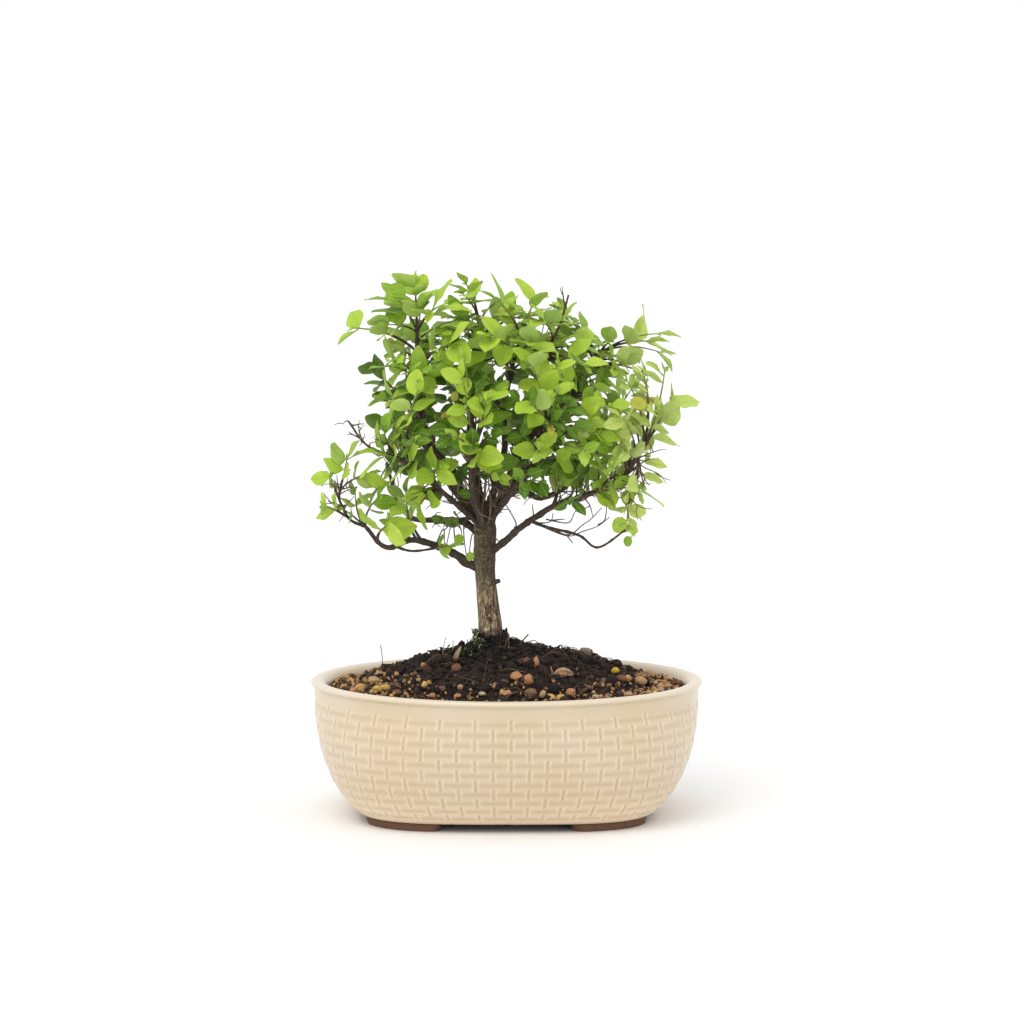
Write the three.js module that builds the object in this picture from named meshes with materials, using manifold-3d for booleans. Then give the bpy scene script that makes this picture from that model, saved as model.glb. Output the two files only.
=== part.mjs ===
// A small serissa grown as a bonsai in an oval glazed pot with four feet.
// Millimetres, +Z up, front towards -Y; the origin is on the ground under the middle of the pot.

import * as THREE from 'three';
import { mergeVertices } from 'three/addons/utils/BufferGeometryUtils.js';
import Module from 'manifold-3d';

const wasm = await Module();
wasm.setup();

// ---------------------------------------------------------------- pot, driving dimensions

const FOOT_HEIGHT = 4;            // underside of the pot above the ground
const WALL_TOP = 66;              // height where the wall ends in the rim
const BASE_HALF = 74;             // half length of the underside
const SHOULDER_HALF = 98.3;       // half length of the wall just under the rim
const WALL_FULLNESS = 2.4;        // how soon the wall swells out above the base
const WALL_SWEEP = 1.3;           // how upright it then stands
const OVAL_RATIO = 0.765;         // width of the oval over its length
const BASE_SQUARENESS = 1.6;      // the oval is this much squarer at the base than at the rim
const TRUE_OVAL_HEIGHT = 60;      // and a true ellipse from here up
const RIM_FOOT = 63.6;            // the rolled rim: where it starts, is widest and turns in
const RIM_WIDEST = 65.2;
const RIM_SHOULDER = 67.8;
const RIM_TOP = 69;
const RIM_HALF = 100;
const CREST_HALF = 97.2;
const WALL_THICKNESS = 7.6;
const FLOOR_TOP = 10;
const FLOOR_ROUNDING = 6;         // the floor turns up into the wall over this length
const INSIDE_LEVELS = [14, 28, 60];
const POT_SEGMENTS = 36;

const HOLE_OFFSET = 34;           // drainage holes, left and right of the middle
const HOLE_RADIUS = 9;

const FOOT_OUTER_HALF = 73.4;     // the feet follow the oval, a little inside its edge
const FOOT_INNER_HALF = 60;
const FOOT_FAR_X = 71.5;          // how far out along the length a foot reaches
const FOOT_NEAR_X = 31.7;         // and how near the middle it starts

// ---------------------------------------------------------------- filling, driving dimensions

const GAP = 0.35;                 // clearance between pieces that touch
const WALL_GAP = 0.8;             // clearance of the gravel to the pot's wall
const GROUND = 66;                // level of the gravel along the wall
const MOUND_RISE = 18.5;          // the root ball rises this much above it
const MOUND_HALF_LENGTH = 76;
const MOUND_HALF_WIDTH = 56;
const COLLAR_RISE = 5;            // soil heaped against the trunk
const COLLAR_REACH = 12;          // and how far from it the heap reaches
const TRUNK_X = -8;
const BALL_HALF_LENGTH = 68;      // edge of the dark root ball at the surface
const BALL_RATIO = 0.7;
const BALL_SEGMENTS = 26;
const BALL_BOTTOM = 16;
const BALL_SIDE = [[18, BALL_BOTTOM], [7, 34], [1, 54], [0, 61]];   // inset from its edge, height
const BALL_RINGS = [1, 0.86, 0.66, 0.45, 0.24, 0];
const GRAVEL_SEGMENTS = 42;
const GRAVEL_RINGS = [4, 9, 14, 19];  // rings of its surface, inset from its edge
const GRAIN_RISE = 3.2;           // height of the gravel's relief
const SCREEN_SIZE = 26;
const SCREEN_THICKNESS = 0.9;
const SCREEN_PITCH = 7.4;
const SCREEN_OPENING = 5.2;
const WIRE_RADIUS = 0.6;

// ---------------------------------------------------------------- tree, driving dimensions

const CROWN = new THREE.Vector3(-3, 0, 203);      // middle of the crown
const CROWN_HALF = new THREE.Vector3(86, 66, 66);
const TRUNK_CLEARANCE = 5.2;      // half thickness of the trunk, to keep leaves off it
const WOODY_SHARE = 0.45;         // share of a shoot that has turned to wood
const SHORTEST_SHOOT = 15;        // a shoot would rather spring from further off than this
const START_ALONG = 0.22;         // it sets off along its wood, and bends at this share of its way
const BEND_AT = 0.3;
const THICKEST_SHOOT = 1.1;       // radius, and at most this share of what bears it
const SHOOT_SHARE = 0.8;
const STEM_ROOT_RADIUS = 1;
const STEM_TIP_RADIUS = 0.8;
const BLADE_THICKNESS = 0.75;
const BLADE_WIDTH = 0.33;         // half width of a leaf over its length
const LEAF_LEAST = 0.9;           // size of a leaf over its shoot's usual length, and its range
const LEAF_RANGE = 0.36;
const FACING_OUT = 0.95;          // how much a leaf faces out of the crown, up, and at random
const FACING_UP = 0.5;
const FACING_ASTRAY = 0.7;
const FIRST_LEAVES = 0.22;        // shares of a stem where the first and last pairs stand
const LAST_LEAVES = 0.88;
const OPENING = 62;               // degrees that the first pair stands off the stem
const OPENING_LESS = 8;           // and how much less each pair after it
const TOP_OPENING = 12;           // the same for the leaf at the tip
const TOP_SIZE = 0.8;             // and its size
const LEAF_SPACING = 2.9;         // least distance between points of two leaves
const WOOD_SPACING = 1.5;         // least distance between a leaf and bark
const LEAF_TRIES = 9;

// The trunk, from its foot in the soil to the fork, with the radius at each point.
const TRUNK_PATH = [
  [-7, 0, 64], [-8, 0, 84], [-8, 0, 93], [-10, 0, 110],
  [-11, 0, 124], [-11, 0, 137], [-11, 0, 150], [-11, 0, 159],
];
const TRUNK_RADII = [9.5, 7.6, 6.2, 5.3, 5, 5.3, 5.8, 4];

// Limbs: the first point lies inside what the limb grows from.
const LIMBS = [
  // low limb to the left, with its rising end and a dead fork
  {
    path: [
      [-9, 0, 124], [-19, -1, 128], [-26, -3, 133], [-36, -6, 138],
      [-49, -10, 141], [-61, -14, 138], [-73, -17, 151],
    ],
    thick: 2.4, thin: 0.9,
  },
  {
    path: [[-72, -17, 149], [-79, -18, 153], [-84, -20, 163], [-83, -20, 169]],
    thick: 0.9, thin: 0.6,
  },
  { path: [[-57, -13, 138.5], [-48, -14, 136], [-38, -13, 137]], thick: 0.9, thin: 0.5 },
  // second limb to the left
  {
    path: [[-11, 0, 140], [-21, 5, 148], [-34, 11, 149], [-48, 17, 149], [-56, 21, 157], [-61, 22, 174]],
    thick: 2, thin: 0.8,
  },
  // leaders: left, middle and centre
  {
    path: [[-11, 0, 147], [-20, -5, 158], [-28, -9, 178], [-39, -11, 190], [-44, -10, 216], [-45, -6, 246]],
    thick: 2.3, thin: 0.8,
  },
  {
    path: [[-11, 0, 149], [-15, 5, 170], [-18, 9, 204], [-17, 8, 230], [-14, 5, 250]],
    thick: 2.3, thin: 0.8,
  },
  {
    path: [[-11, 0, 151], [-6, -8, 167], [-1, -14, 186], [-1, -18, 211], [7, -18, 244]],
    thick: 2.2, thin: 0.8,
  },
  // dark limb rising to the right
  {
    path: [[-11, 0, 149], [-2, 2, 163], [8, 6, 187], [24, 10, 203], [38, 12, 219], [47, 12, 234]],
    thick: 2.3, thin: 0.8,
  },
  // low limb to the right, its drooping twig, and the shoot that hangs from its end
  {
    path: [
      [-11, 0, 132], [-3, -4, 138], [8, -9, 148], [26, -13, 160],
      [39, -14, 164], [58, -12, 173], [69, -9, 187],
    ],
    thick: 1.9, thin: 0.9,
  },
  {
    path: [[12, -10, 151], [22, -16, 148], [36, -20, 145], [46, -22, 139], [60, -24, 148]],
    thick: 1.1, thin: 0.5,
  },
  { path: [[67, -9, 184], [66, -11, 177], [61, -13, 160]], thick: 0.7, thin: 0.5 },
  // middle limb to the right
  {
    path: [[-11, 0, 151], [4, 9, 164], [17, 16, 160], [29, 20, 164], [38, 22, 175], [48, 23, 190]],
    thick: 2.1, thin: 0.8,
  },
  // limbs to the back and to the front
  { path: [[-11, 0, 147], [-15, 18, 161], [-19, 34, 178], [-20, 45, 200]], thick: 2, thin: 0.8 },
  { path: [[-10, 1, 150], [4, 18, 170], [16, 32, 188], [26, 42, 208]], thick: 2, thin: 0.8 },
  { path: [[-11, 1, 148], [-28, 18, 165], [-40, 30, 182], [-48, 36, 200]], thick: 2.3, thin: 0.8 },
  {
    path: [[-11, -1, 145], [-15, -17, 158], [-18, -30, 172], [-16, -40, 188]],
    thick: 1.9, thin: 0.7,
  },
  { path: [[-10, -1, 149], [2, -19, 166], [13, -32, 182], [20, -40, 200]], thick: 2.2, thin: 0.8 },
  {
    path: [[-11, -1, 146], [-25, -15, 160], [-37, -25, 172], [-48, -30, 184]],
    thick: 1.9, thin: 0.8,
  },
  // bare twigs at the edge of the crown
  { path: [[6, -18, 240], [19, -20, 238], [26, -22, 250], [31, -24, 266]], thick: 0.9, thin: 0.5 },
  {
    path: [[-46, -29, 182], [-58, -28, 186], [-70, -26, 191], [-79, -26, 203]],
    thick: 0.9, thin: 0.5,
  },
];

// Leafy shoots on the outside of the crown: where each ends, its leaves and their length.
const FRONT_SHOOTS = [
  { tip: [-14, -46, 189], leaves: 7, length: 15 },
  { tip: [-59, -28, 151], leaves: 4, length: 15 },
  { tip: [-61, -33, 187], leaves: 5, length: 19 },
  { tip: [-33, -40, 181], leaves: 6, length: 13 },
  { tip: [-91, -23, 160], leaves: 5, length: 10 },
  { tip: [-28, -14, 139], leaves: 4, length: 9 },
  { tip: [61, -13, 152], leaves: 6, length: 10 },
  { tip: [52, -20, 169], leaves: 5, length: 12 },
  { tip: [35, -30, 186], leaves: 5, length: 13 },
  { tip: [70, -6, 181], leaves: 4, length: 14 },
  { tip: [47, -34, 197], leaves: 6, length: 14 },
  { tip: [16, -44, 193], leaves: 6, length: 12 },
  { tip: [74, 6, 195], leaves: 5, length: 14 },
  { tip: [-89, -14, 174], leaves: 5, length: 13 },
  { tip: [-44, -44, 219], leaves: 7, length: 14 },
  { tip: [-9, -56, 217], leaves: 7, length: 15 },
  { tip: [12, -54, 214], leaves: 6, length: 15 },
  { tip: [53, -32, 211], leaves: 6, length: 14 },
  { tip: [83, 0, 211], leaves: 4, length: 17 },
  { tip: [-62, -12, 213], leaves: 6, length: 14 },
  { tip: [-57, -22, 230], leaves: 6, length: 15 },
  { tip: [12, -46, 234], leaves: 6, length: 16 },
  { tip: [39, -32, 231], leaves: 6, length: 14 },
  { tip: [68, -5, 226], leaves: 5, length: 14 },
  { tip: [-27, -35, 242], leaves: 7, length: 15 },
  { tip: [-7, -38, 246], leaves: 6, length: 17 },
  { tip: [72, 6, 241], leaves: 6, length: 15 },
  { tip: [52, 0, 241], leaves: 6, length: 13 },
  { tip: [29, 0, 253], leaves: 6, length: 14 },
  { tip: [-77, 0, 248], leaves: 5, length: 15 },
  { tip: [14, -5, 262], leaves: 6, length: 14 },
  { tip: [-3, -20, 262], leaves: 6, length: 14 },
  { tip: [-20, -3, 270], leaves: 6, length: 14 },
  { tip: [-46, -7, 270], leaves: 7, length: 15 },
  { tip: [-48, -42, 184], leaves: 5, length: 17 },
  { tip: [-34, -22, 260], leaves: 6, length: 15 },
  { tip: [-44, -32, 161], leaves: 5, length: 14 },
];

// Shoots over the back of the crown, spread evenly by a golden step.
const BACK_SHOOT_COUNT = 14;
const BACK_LOWEST = -0.5;         // from here to here, over half the crown's height
const BACK_HIGHEST = 0.95;
const BACK_FIRST = 12;            // and over this arc, in degrees from the crown's right end
const BACK_ARC = 156;
const BACK_REACH = 0.86;          // how near the crown's outside their tips come
const BACK_LEAVES = 6;
const BACK_LEAF_LENGTH = 14;
const GOLDEN_STEP = 0.618034;

// ---------------------------------------------------------------- materials

const finish = (color, roughness) => new THREE.MeshStandardMaterial({ color, roughness, metalness: 0 });
const GLAZE = finish(0xe8d8bf, 0.35);
const MESH_PLASTIC = finish(0x2a2c2a, 0.6);
const WIRE_METAL = new THREE.MeshStandardMaterial({ color: 0x8b8578, roughness: 0.45, metalness: 1 });
const GRAVEL = finish(0xa87c4f, 0.85);
const COMPOST = finish(0x33241b, 0.95);
const BARK = finish(0x6b5a48, 0.9);
const LEAF = {
  fresh: finish(0x8bbb3c, 0.5),
  mid: finish(0x6f9f35, 0.55),
  deep: finish(0x55872f, 0.55),
  grey: finish(0x7c9a63, 0.6),
};

// ---------------------------------------------------------------- solids and meshes

// A closed geometry as a solid that can be joined and cut.
function solidOf(geometry) {
  geometry.deleteAttribute('normal');
  geometry.deleteAttribute('uv');
  const welded = mergeVertices(geometry, 1e-4);
  return new wasm.Manifold(new wasm.Mesh({
    numProp: 3,
    vertProperties: Float32Array.from(welded.attributes.position.array),
    triVerts: Uint32Array.from(welded.index.array),
  }));
}

function join(solids) {
  return solids.reduce((whole, piece) => whole.add(piece));
}

function pieceMesh(name, solid, material) {
  const { vertProperties, triVerts } = solid.getMesh();
  const geometry = new THREE.BufferGeometry();
  geometry.setAttribute('position', new THREE.BufferAttribute(vertProperties, 3));
  geometry.setIndex(new THREE.BufferAttribute(triVerts, 1));
  geometry.computeVertexNormals();
  const mesh = new THREE.Mesh(geometry, material);
  mesh.name = name;
  return mesh;
}

// Moves every vertex of a geometry by a function of its place.
function reshape(geometry, place) {
  const position = geometry.attributes.position;
  const vertex = new THREE.Vector3();
  for (let i = 0; i < position.count; i += 1) {
    vertex.fromBufferAttribute(position, i);
    place(vertex);
    position.setXYZ(i, vertex.x, vertex.y, vertex.z);
  }
  return geometry;
}

// The same draws for the same seed, each from 0 to 1.
function drawer(seed) {
  let state = Math.imul(seed + 1, 2654435761) >>> 0;
  return () => {
    state = (Math.imul(state, 1664525) + 1013904223) >>> 0;
    return state / 4294967296;
  };
}

// ---------------------------------------------------------------- pot

// Half length of the outer wall at a height.
function wallHalf(height) {
  const rise = (height - FOOT_HEIGHT) / (WALL_TOP - FOOT_HEIGHT);
  const swell = (1 - (1 - rise) ** WALL_FULLNESS) ** (1 / WALL_SWEEP);
  return BASE_HALF + (SHOULDER_HALF - BASE_HALF) * swell;
}

// Exponent of the oval: 2 at the rim, a true ellipse, and squarer towards the base.
function ovalExponent(height) {
  const drop = (TRUE_OVAL_HEIGHT - height) / (TRUE_OVAL_HEIGHT - FOOT_HEIGHT);
  return 2 + BASE_SQUARENESS * THREE.MathUtils.clamp(drop, 0, 1);
}

function power(value, exponent) {
  return Math.sign(value) * Math.abs(value) ** exponent;
}

// Turns a profile of [half length, height] pairs into an oval solid of revolution.
function ovalSolid(profile, ratio, shorten, segments, exponentAt) {
  const points = profile.map(([half, height]) => new THREE.Vector2(half, height));
  const lathe = new THREE.LatheGeometry(points, segments);
  reshape(lathe, (vertex) => {
    const half = Math.hypot(vertex.x, vertex.z);
    const height = vertex.y;
    const exponent = 2 / exponentAt(height);
    const across = half > 0.01 ? vertex.x / half : 0;
    const back = half > 0.01 ? -vertex.z / half : 0;
    const halfWidth = Math.max(0, half * ratio - shorten * Math.min(1, half / 20));
    vertex.set(half * power(across, exponent), halfWidth * power(back, exponent), height);
  });
  return solidOf(lathe);
}

const INNER_SHORTEN = WALL_THICKNESS * (1 - OVAL_RATIO);

function innerHalf(height) {
  return wallHalf(height) - WALL_THICKNESS;
}

// One foot: a block between two ovals, from near the middle round to the end of the pot.
function footSolid(alongX, alongY) {
  const exponent = ovalExponent(FOOT_HEIGHT);
  const steps = 4;
  const edge = (half, farX) => {
    const from = Math.acos((farX / half) ** (exponent / 2));
    const to = Math.acos((FOOT_NEAR_X / half) ** (exponent / 2));
    const points = [];
    for (let i = 0; i <= steps; i += 1) {
      const angle = from + (to - from) * i / steps;
      points.push(new THREE.Vector2(
        alongX * half * Math.cos(angle) ** (2 / exponent),
        alongY * half * OVAL_RATIO * Math.sin(angle) ** (2 / exponent),
      ));
    }
    return points;
  };
  const outline = [
    ...edge(FOOT_OUTER_HALF, FOOT_FAR_X),
    ...edge(FOOT_INNER_HALF, FOOT_INNER_HALF * 0.985).reverse(),
  ];
  const sunk = 0.8;
  const depth = FOOT_HEIGHT + sunk;
  const block = new THREE.ExtrudeGeometry(new THREE.Shape(outline), { depth, bevelEnabled: false });
  return solidOf(block);
}

function drainHole(x) {
  const depth = FLOOR_TOP + 4;
  const bore = new THREE.CylinderGeometry(HOLE_RADIUS, HOLE_RADIUS, depth, 16);
  bore.rotateX(Math.PI / 2);
  bore.translate(x, 0, depth / 2);
  return solidOf(bore);
}

function potSolid() {
  const wallLevels = [5.5, 10, 18, 30, 46, 62];
  const outer = ovalSolid([
    [0, FOOT_HEIGHT],
    [BASE_HALF, FOOT_HEIGHT],
    ...wallLevels.map((height) => [wallHalf(height), height]),
    [RIM_HALF - 0.9, RIM_FOOT],
    [RIM_HALF, RIM_WIDEST],
    [RIM_HALF - 0.6, RIM_SHOULDER],
    [CREST_HALF, RIM_TOP],
    [0, RIM_TOP],
  ], OVAL_RATIO, 0, POT_SEGMENTS, ovalExponent);
  const mouthHalf = innerHalf(GROUND - 4);
  const above = RIM_TOP + 0.6;
  const cavity = ovalSolid([
    [0, FLOOR_TOP],
    [innerHalf(FLOOR_TOP) - FLOOR_ROUNDING, FLOOR_TOP],
    ...INSIDE_LEVELS.map((height) => [innerHalf(height), height]),
    [mouthHalf + 0.8, GROUND + 0.4],
    [mouthHalf + 2.8, RIM_TOP - 0.4],
    [mouthHalf + 5, above],
    [0, above],
  ], OVAL_RATIO, INNER_SHORTEN, POT_SEGMENTS, ovalExponent);
  const feet = [[-1, -1], [1, -1], [-1, 1], [1, 1]].map(([x, y]) => footSolid(x, y));
  const holes = join([drainHole(-HOLE_OFFSET), drainHole(HOLE_OFFSET)]);
  return join([outer.subtract(cavity), ...feet]).subtract(holes);
}

// ---------------------------------------------------------------- screens and their wires

function boxSolid(width, depth, height, x, y, z) {
  const box = new THREE.BoxGeometry(width, depth, height);
  box.translate(x, y, z);
  return solidOf(box);
}

// A square of plastic mesh with three rows of openings.
function screenSolid(x) {
  const level = FLOOR_TOP + GAP + SCREEN_THICKNESS / 2;
  const openings = [];
  for (const column of [-1, 0, 1]) {
    for (const row of [-1, 0, 1]) {
      const [u, v] = [x + column * SCREEN_PITCH, row * SCREEN_PITCH];
      openings.push(boxSolid(SCREEN_OPENING, SCREEN_OPENING, 3 * SCREEN_THICKNESS, u, v, level));
    }
  }
  return boxSolid(SCREEN_SIZE, SCREEN_SIZE, SCREEN_THICKNESS, x, 0, level).subtract(join(openings));
}

// Bends a straight rod along a curve; the radius may change along it.
function bentRod(curve, radiusAt, sides, steps) {
  const rod = new THREE.CylinderGeometry(1, 1, 1, sides, steps);
  const frames = curve.computeFrenetFrames(steps);
  return reshape(rod, (vertex) => {
    const share = THREE.MathUtils.clamp(vertex.y + 0.5, 0, 1);
    const station = Math.round(share * steps);
    const centre = curve.getPointAt(share);
    const radius = radiusAt(share);
    const across = frames.normals[station].clone().multiplyScalar(vertex.x * radius);
    const aside = frames.binormals[station].clone().multiplyScalar(-vertex.z * radius);
    vertex.copy(centre).add(across).add(aside);
  });
}

function vectors(points) {
  return points.map(([x, y, z]) => new THREE.Vector3(x, y, z));
}

// A staple that clips a screen down: two loops under the hole, two legs bent over the screen.
function wireSolid(x) {
  const under = FOOT_HEIGHT - 1;
  const above = FLOOR_TOP + GAP + SCREEN_THICKNESS + WIRE_RADIUS + GAP;
  const leg = 6.4;
  const loop = 12;
  const loopWidth = 2.6;
  const half = [
    [loop, loopWidth, under],
    [loop + 1.2, loopWidth / 2, under],
    [loop, 0, under],
    [leg + 1, 0, under],
    [leg, 0, under + 1.2],
    [leg, 0, above - 1.2],
    [leg + 1, 0, above],
    [loop, 0, above],
  ];
  const mirrored = half.map(([u, v, w]) => [-u, v, w]).reverse();
  const points = [...mirrored, ...half].map(([u, v, w]) => [x + u, v - loopWidth / 2, w]);
  const route = new THREE.CatmullRomCurve3(vectors(points), false, 'centripetal');
  return solidOf(bentRod(route, () => WIRE_RADIUS, 4, 24));
}

// ---------------------------------------------------------------- root ball and gravel

// Height of the ground inside the pot: a broad mound with a collar at the trunk, and lumps.
function groundHeight(x, y) {
  const reach = (x / MOUND_HALF_LENGTH) ** 2 + (y / MOUND_HALF_WIDTH) ** 2;
  const mound = MOUND_RISE * Math.max(0, 1 - reach);
  const collar = COLLAR_RISE * Math.exp(-((x - TRUNK_X) ** 2 + y ** 2) / COLLAR_REACH ** 2);
  const lumps = 0.9 * Math.sin(0.21 * x + 1.3) * Math.sin(0.27 * y) + 0.5 * Math.sin(0.43 * x - 0.37 * y);
  return GROUND + mound + collar + lumps;
}

function trunkCurve() {
  return new THREE.CatmullRomCurve3(vectors(TRUNK_PATH), false, 'catmullrom', 0.5);
}

function trunkRod(grow, drop = 0) {
  const last = TRUNK_RADII.length - 1;
  const radiusAt = (share) => {
    const place = Math.min(share * last, last - 1e-9);
    const before = Math.floor(place);
    return THREE.MathUtils.lerp(TRUNK_RADII[before], TRUNK_RADII[before + 1], place - before) + grow;
  };
  const rod = bentRod(trunkCurve(), radiusAt, 10, 10);
  return solidOf(rod.translate(0, 0, -drop));
}

// The root ball's body; grown outwards and upwards it is also the hollow left in the gravel.
function ballSolid(grow, topAt) {
  const half = BALL_HALF_LENGTH + grow;
  const profile = [
    new THREE.Vector2(0, BALL_BOTTOM - grow),
    ...BALL_SIDE.map(([inset, height]) => new THREE.Vector2(half - inset, height - grow)),
    ...BALL_RINGS.map((share) => new THREE.Vector2(half * share, GROUND + 1)),
  ];
  const geometry = new THREE.LatheGeometry(profile, BALL_SEGMENTS);
  reshape(geometry, (vertex) => {
    const x = vertex.x;
    const y = -vertex.z * BALL_RATIO;
    vertex.set(x, y, vertex.y > GROUND ? topAt(x, y) : vertex.y);
  });
  return solidOf(geometry);
}

function rootBallSolid() {
  return ballSolid(0, groundHeight).subtract(trunkRod(GAP)).subtract(trunkRod(GAP, GAP));
}

// Gravel round the root ball: rounded grains stand out of its surface, larger than life.
function gravelHeight(x, y) {
  const across = Math.sin(0.52 * x + 0.9 * Math.sin(0.31 * y));
  const back = Math.sin(0.6 * y + 0.8 * Math.sin(0.27 * x));
  return groundHeight(x, y) - 0.8 + GRAIN_RISE * Math.abs(across * back);
}

function gravelSolid() {
  const edge = innerHalf(GROUND - 4) - WALL_GAP;
  const outer = ovalSolid([
    [0, FLOOR_TOP + GAP],
    [innerHalf(FLOOR_TOP) - FLOOR_ROUNDING - WALL_GAP, FLOOR_TOP + GAP],
    ...INSIDE_LEVELS.map((height) => [innerHalf(height) - WALL_GAP, height]),
    [edge, GROUND - GAP],
    ...GRAVEL_RINGS.map((inset) => [edge - inset, GROUND + 1]),
    [BALL_HALF_LENGTH - 4, GROUND + 1],
    [0, GROUND + 1],
  ], OVAL_RATIO, INNER_SHORTEN, GRAVEL_SEGMENTS, ovalExponent);
  const shell = outer.getMesh();
  const bed = new THREE.BufferGeometry();
  bed.setAttribute('position', new THREE.BufferAttribute(shell.vertProperties, 3));
  bed.setIndex(new THREE.BufferAttribute(shell.triVerts, 1));
  reshape(bed, (vertex) => {
    vertex.z = vertex.z > GROUND ? gravelHeight(vertex.x, vertex.y) : vertex.z;
  });
  const hollow = ballSolid(GAP, () => GROUND + 3 * MOUND_RISE);
  const room = SCREEN_SIZE + 2;
  const roomHeight = 5;
  const roomLevel = FLOOR_TOP + 1.1;
  const screenRooms = [-HOLE_OFFSET, HOLE_OFFSET].map((x) => (
    boxSolid(room, room, roomHeight, x, 0, roomLevel)
  ));
  return solidOf(bed).subtract(hollow).subtract(join(screenRooms));
}

// ---------------------------------------------------------------- the way the tree grows

// Points along a limb or shoot, for joining others on and for keeping leaves clear.
function traced(curve, count, radiusAt, spray) {
  const points = [];
  for (let i = 0; i <= count; i += 1) {
    points.push(curve.getPoint(i / count));
  }
  return points.map((point, i) => {
    const before = points[Math.max(0, i - 1)];
    const after = points[Math.min(count, i + 1)];
    const heading = new THREE.Vector3().subVectors(after, before).normalize();
    return { point, heading, radius: radiusAt(i / count), spray };
  });
}

const SAMPLES_PER_SPAN = 6;
const limbs = LIMBS.map(({ path, thick, thin }) => {
  const curve = new THREE.CatmullRomCurve3(vectors(path), false, 'catmullrom', 0.5);
  return { curve, radiusAt: (share) => thick + (thin - thick) * share, spans: path.length - 1 };
});
const wood = [
  ...traced(trunkCurve(), 40, () => TRUNK_CLEARANCE, -1),
  ...limbs.flatMap(({ curve, radiusAt, spans }) => traced(curve, spans * SAMPLES_PER_SPAN, radiusAt, -1)),
];

// The point of the wood that a shoot to this tip most naturally springs from.
function springFrom(tip, candidates) {
  let best = null;
  let least = Infinity;
  for (const candidate of candidates) {
    const way = new THREE.Vector3().subVectors(tip, candidate.point);
    const distance = way.length();
    const turn = way.dot(candidate.heading) / distance;
    const cost = distance * (1.3 - 0.5 * turn) + 3 * Math.max(0, SHORTEST_SHOOT - distance);
    if (cost < least) {
      least = cost;
      best = candidate;
    }
  }
  return best;
}

// The part of a bent shoot between two shares of its length.
function shareOf(curve, from, to) {
  const middle = new THREE.Vector3()
    .addScaledVector(curve.v0, (1 - from) * (1 - to))
    .addScaledVector(curve.v1, (1 - from) * to + from * (1 - to))
    .addScaledVector(curve.v2, from * to);
  return new THREE.QuadraticBezierCurve3(curve.getPoint(from), middle, curve.getPoint(to));
}

function backTips() {
  const tips = [];
  for (let i = 0; i < BACK_SHOOT_COUNT; i += 1) {
    const height = BACK_LOWEST + (BACK_HIGHEST - BACK_LOWEST) * (i + 0.5) / BACK_SHOOT_COUNT;
    const around = THREE.MathUtils.degToRad(BACK_FIRST + BACK_ARC * ((i * GOLDEN_STEP) % 1));
    const flat = Math.sqrt(1 - height * height);
    tips.push({
      tip: [
        CROWN.x + BACK_REACH * CROWN_HALF.x * flat * Math.cos(around),
        CROWN.y + BACK_REACH * CROWN_HALF.y * flat * Math.sin(around),
        CROWN.z + BACK_REACH * CROWN_HALF.z * height,
      ],
      leaves: BACK_LEAVES,
      length: BACK_LEAF_LENGTH,
    });
  }
  return tips;
}

// Half width of a leaf over its greatest half width, from its base, 0, to its tip, 1.
function bladeSwell(share) {
  return Math.sin(Math.PI * share ** 0.85) ** 0.8;
}

// A point of a blade: folded up a little along the rib and arched down to its tip.
function bladePoint(leaf, share, side) {
  const along = share * leaf.length;
  const aside = side * bladeSwell(Math.min(Math.max(share, 0), 1)) * leaf.length * BLADE_WIDTH;
  const lift = leaf.fold * Math.abs(aside) - leaf.arch * leaf.length * share * share;
  return leaf.base.clone()
    .addScaledVector(leaf.along, along)
    .addScaledVector(leaf.aside, aside)
    .addScaledVector(leaf.up, lift);
}

function clearOf(points, spray, leafPoints, woodPoints) {
  for (const { point, share } of points) {
    for (const other of leafPoints) {
      const sameSpray = other.spray === spray;
      const nearRoot = share < 0.3 || other.share < 0.3;
      if (!(sameSpray && nearRoot) && point.distanceToSquared(other.point) < LEAF_SPACING ** 2) {
        return false;
      }
    }
    for (const other of woodPoints) {
      const own = other.spray === spray && share < 0.3;
      const least = other.radius + WOOD_SPACING;
      if (!own && point.distanceToSquared(other.point) < least * least) {
        return false;
      }
    }
  }
  return true;
}

// A leaf at a share of a stem: which way it points, how it faces, and how long it is.
function aimLeaf(stem, share, spread, around, length, draw) {
  const base = stem.getPoint(share);
  const heading = stem.getTangent(share);
  const level = Math.abs(heading.z) > 0.95 ? new THREE.Vector3(1, 0, 0) : new THREE.Vector3(0, 0, 1);
  const first = level.addScaledVector(heading, -level.dot(heading)).normalize();
  const second = new THREE.Vector3().crossVectors(heading, first);
  const along = heading.clone().multiplyScalar(Math.cos(spread))
    .addScaledVector(first, Math.sin(spread) * Math.cos(around))
    .addScaledVector(second, Math.sin(spread) * Math.sin(around));
  along.z = 0.75 * along.z + 0.04;
  along.normalize();
  const outward = new THREE.Vector3().subVectors(base, CROWN).normalize();
  const up = outward.multiplyScalar(FACING_OUT);
  up.x += FACING_ASTRAY * (draw() - 0.5);
  up.y += FACING_ASTRAY * (draw() - 0.5);
  up.z += FACING_UP;
  up.addScaledVector(along, -up.dot(along)).normalize();
  const aside = new THREE.Vector3().crossVectors(along, up);
  return { base, along, up, aside, length, fold: 0.12 + 0.2 * draw(), arch: 0.06 + 0.14 * draw() };
}

// Points all over a blade, about two millimetres apart.
function bladeSamples(leaf, spray) {
  const rows = Math.ceil(leaf.length / 2);
  const samples = [];
  for (let row = 1; row <= rows; row += 1) {
    const share = row / rows;
    for (const side of [-1, -0.5, 0, 0.5, 1]) {
      samples.push({ point: bladePoint(leaf, share, side), share, spray });
    }
  }
  return samples;
}

const leafPoints = [];

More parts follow.
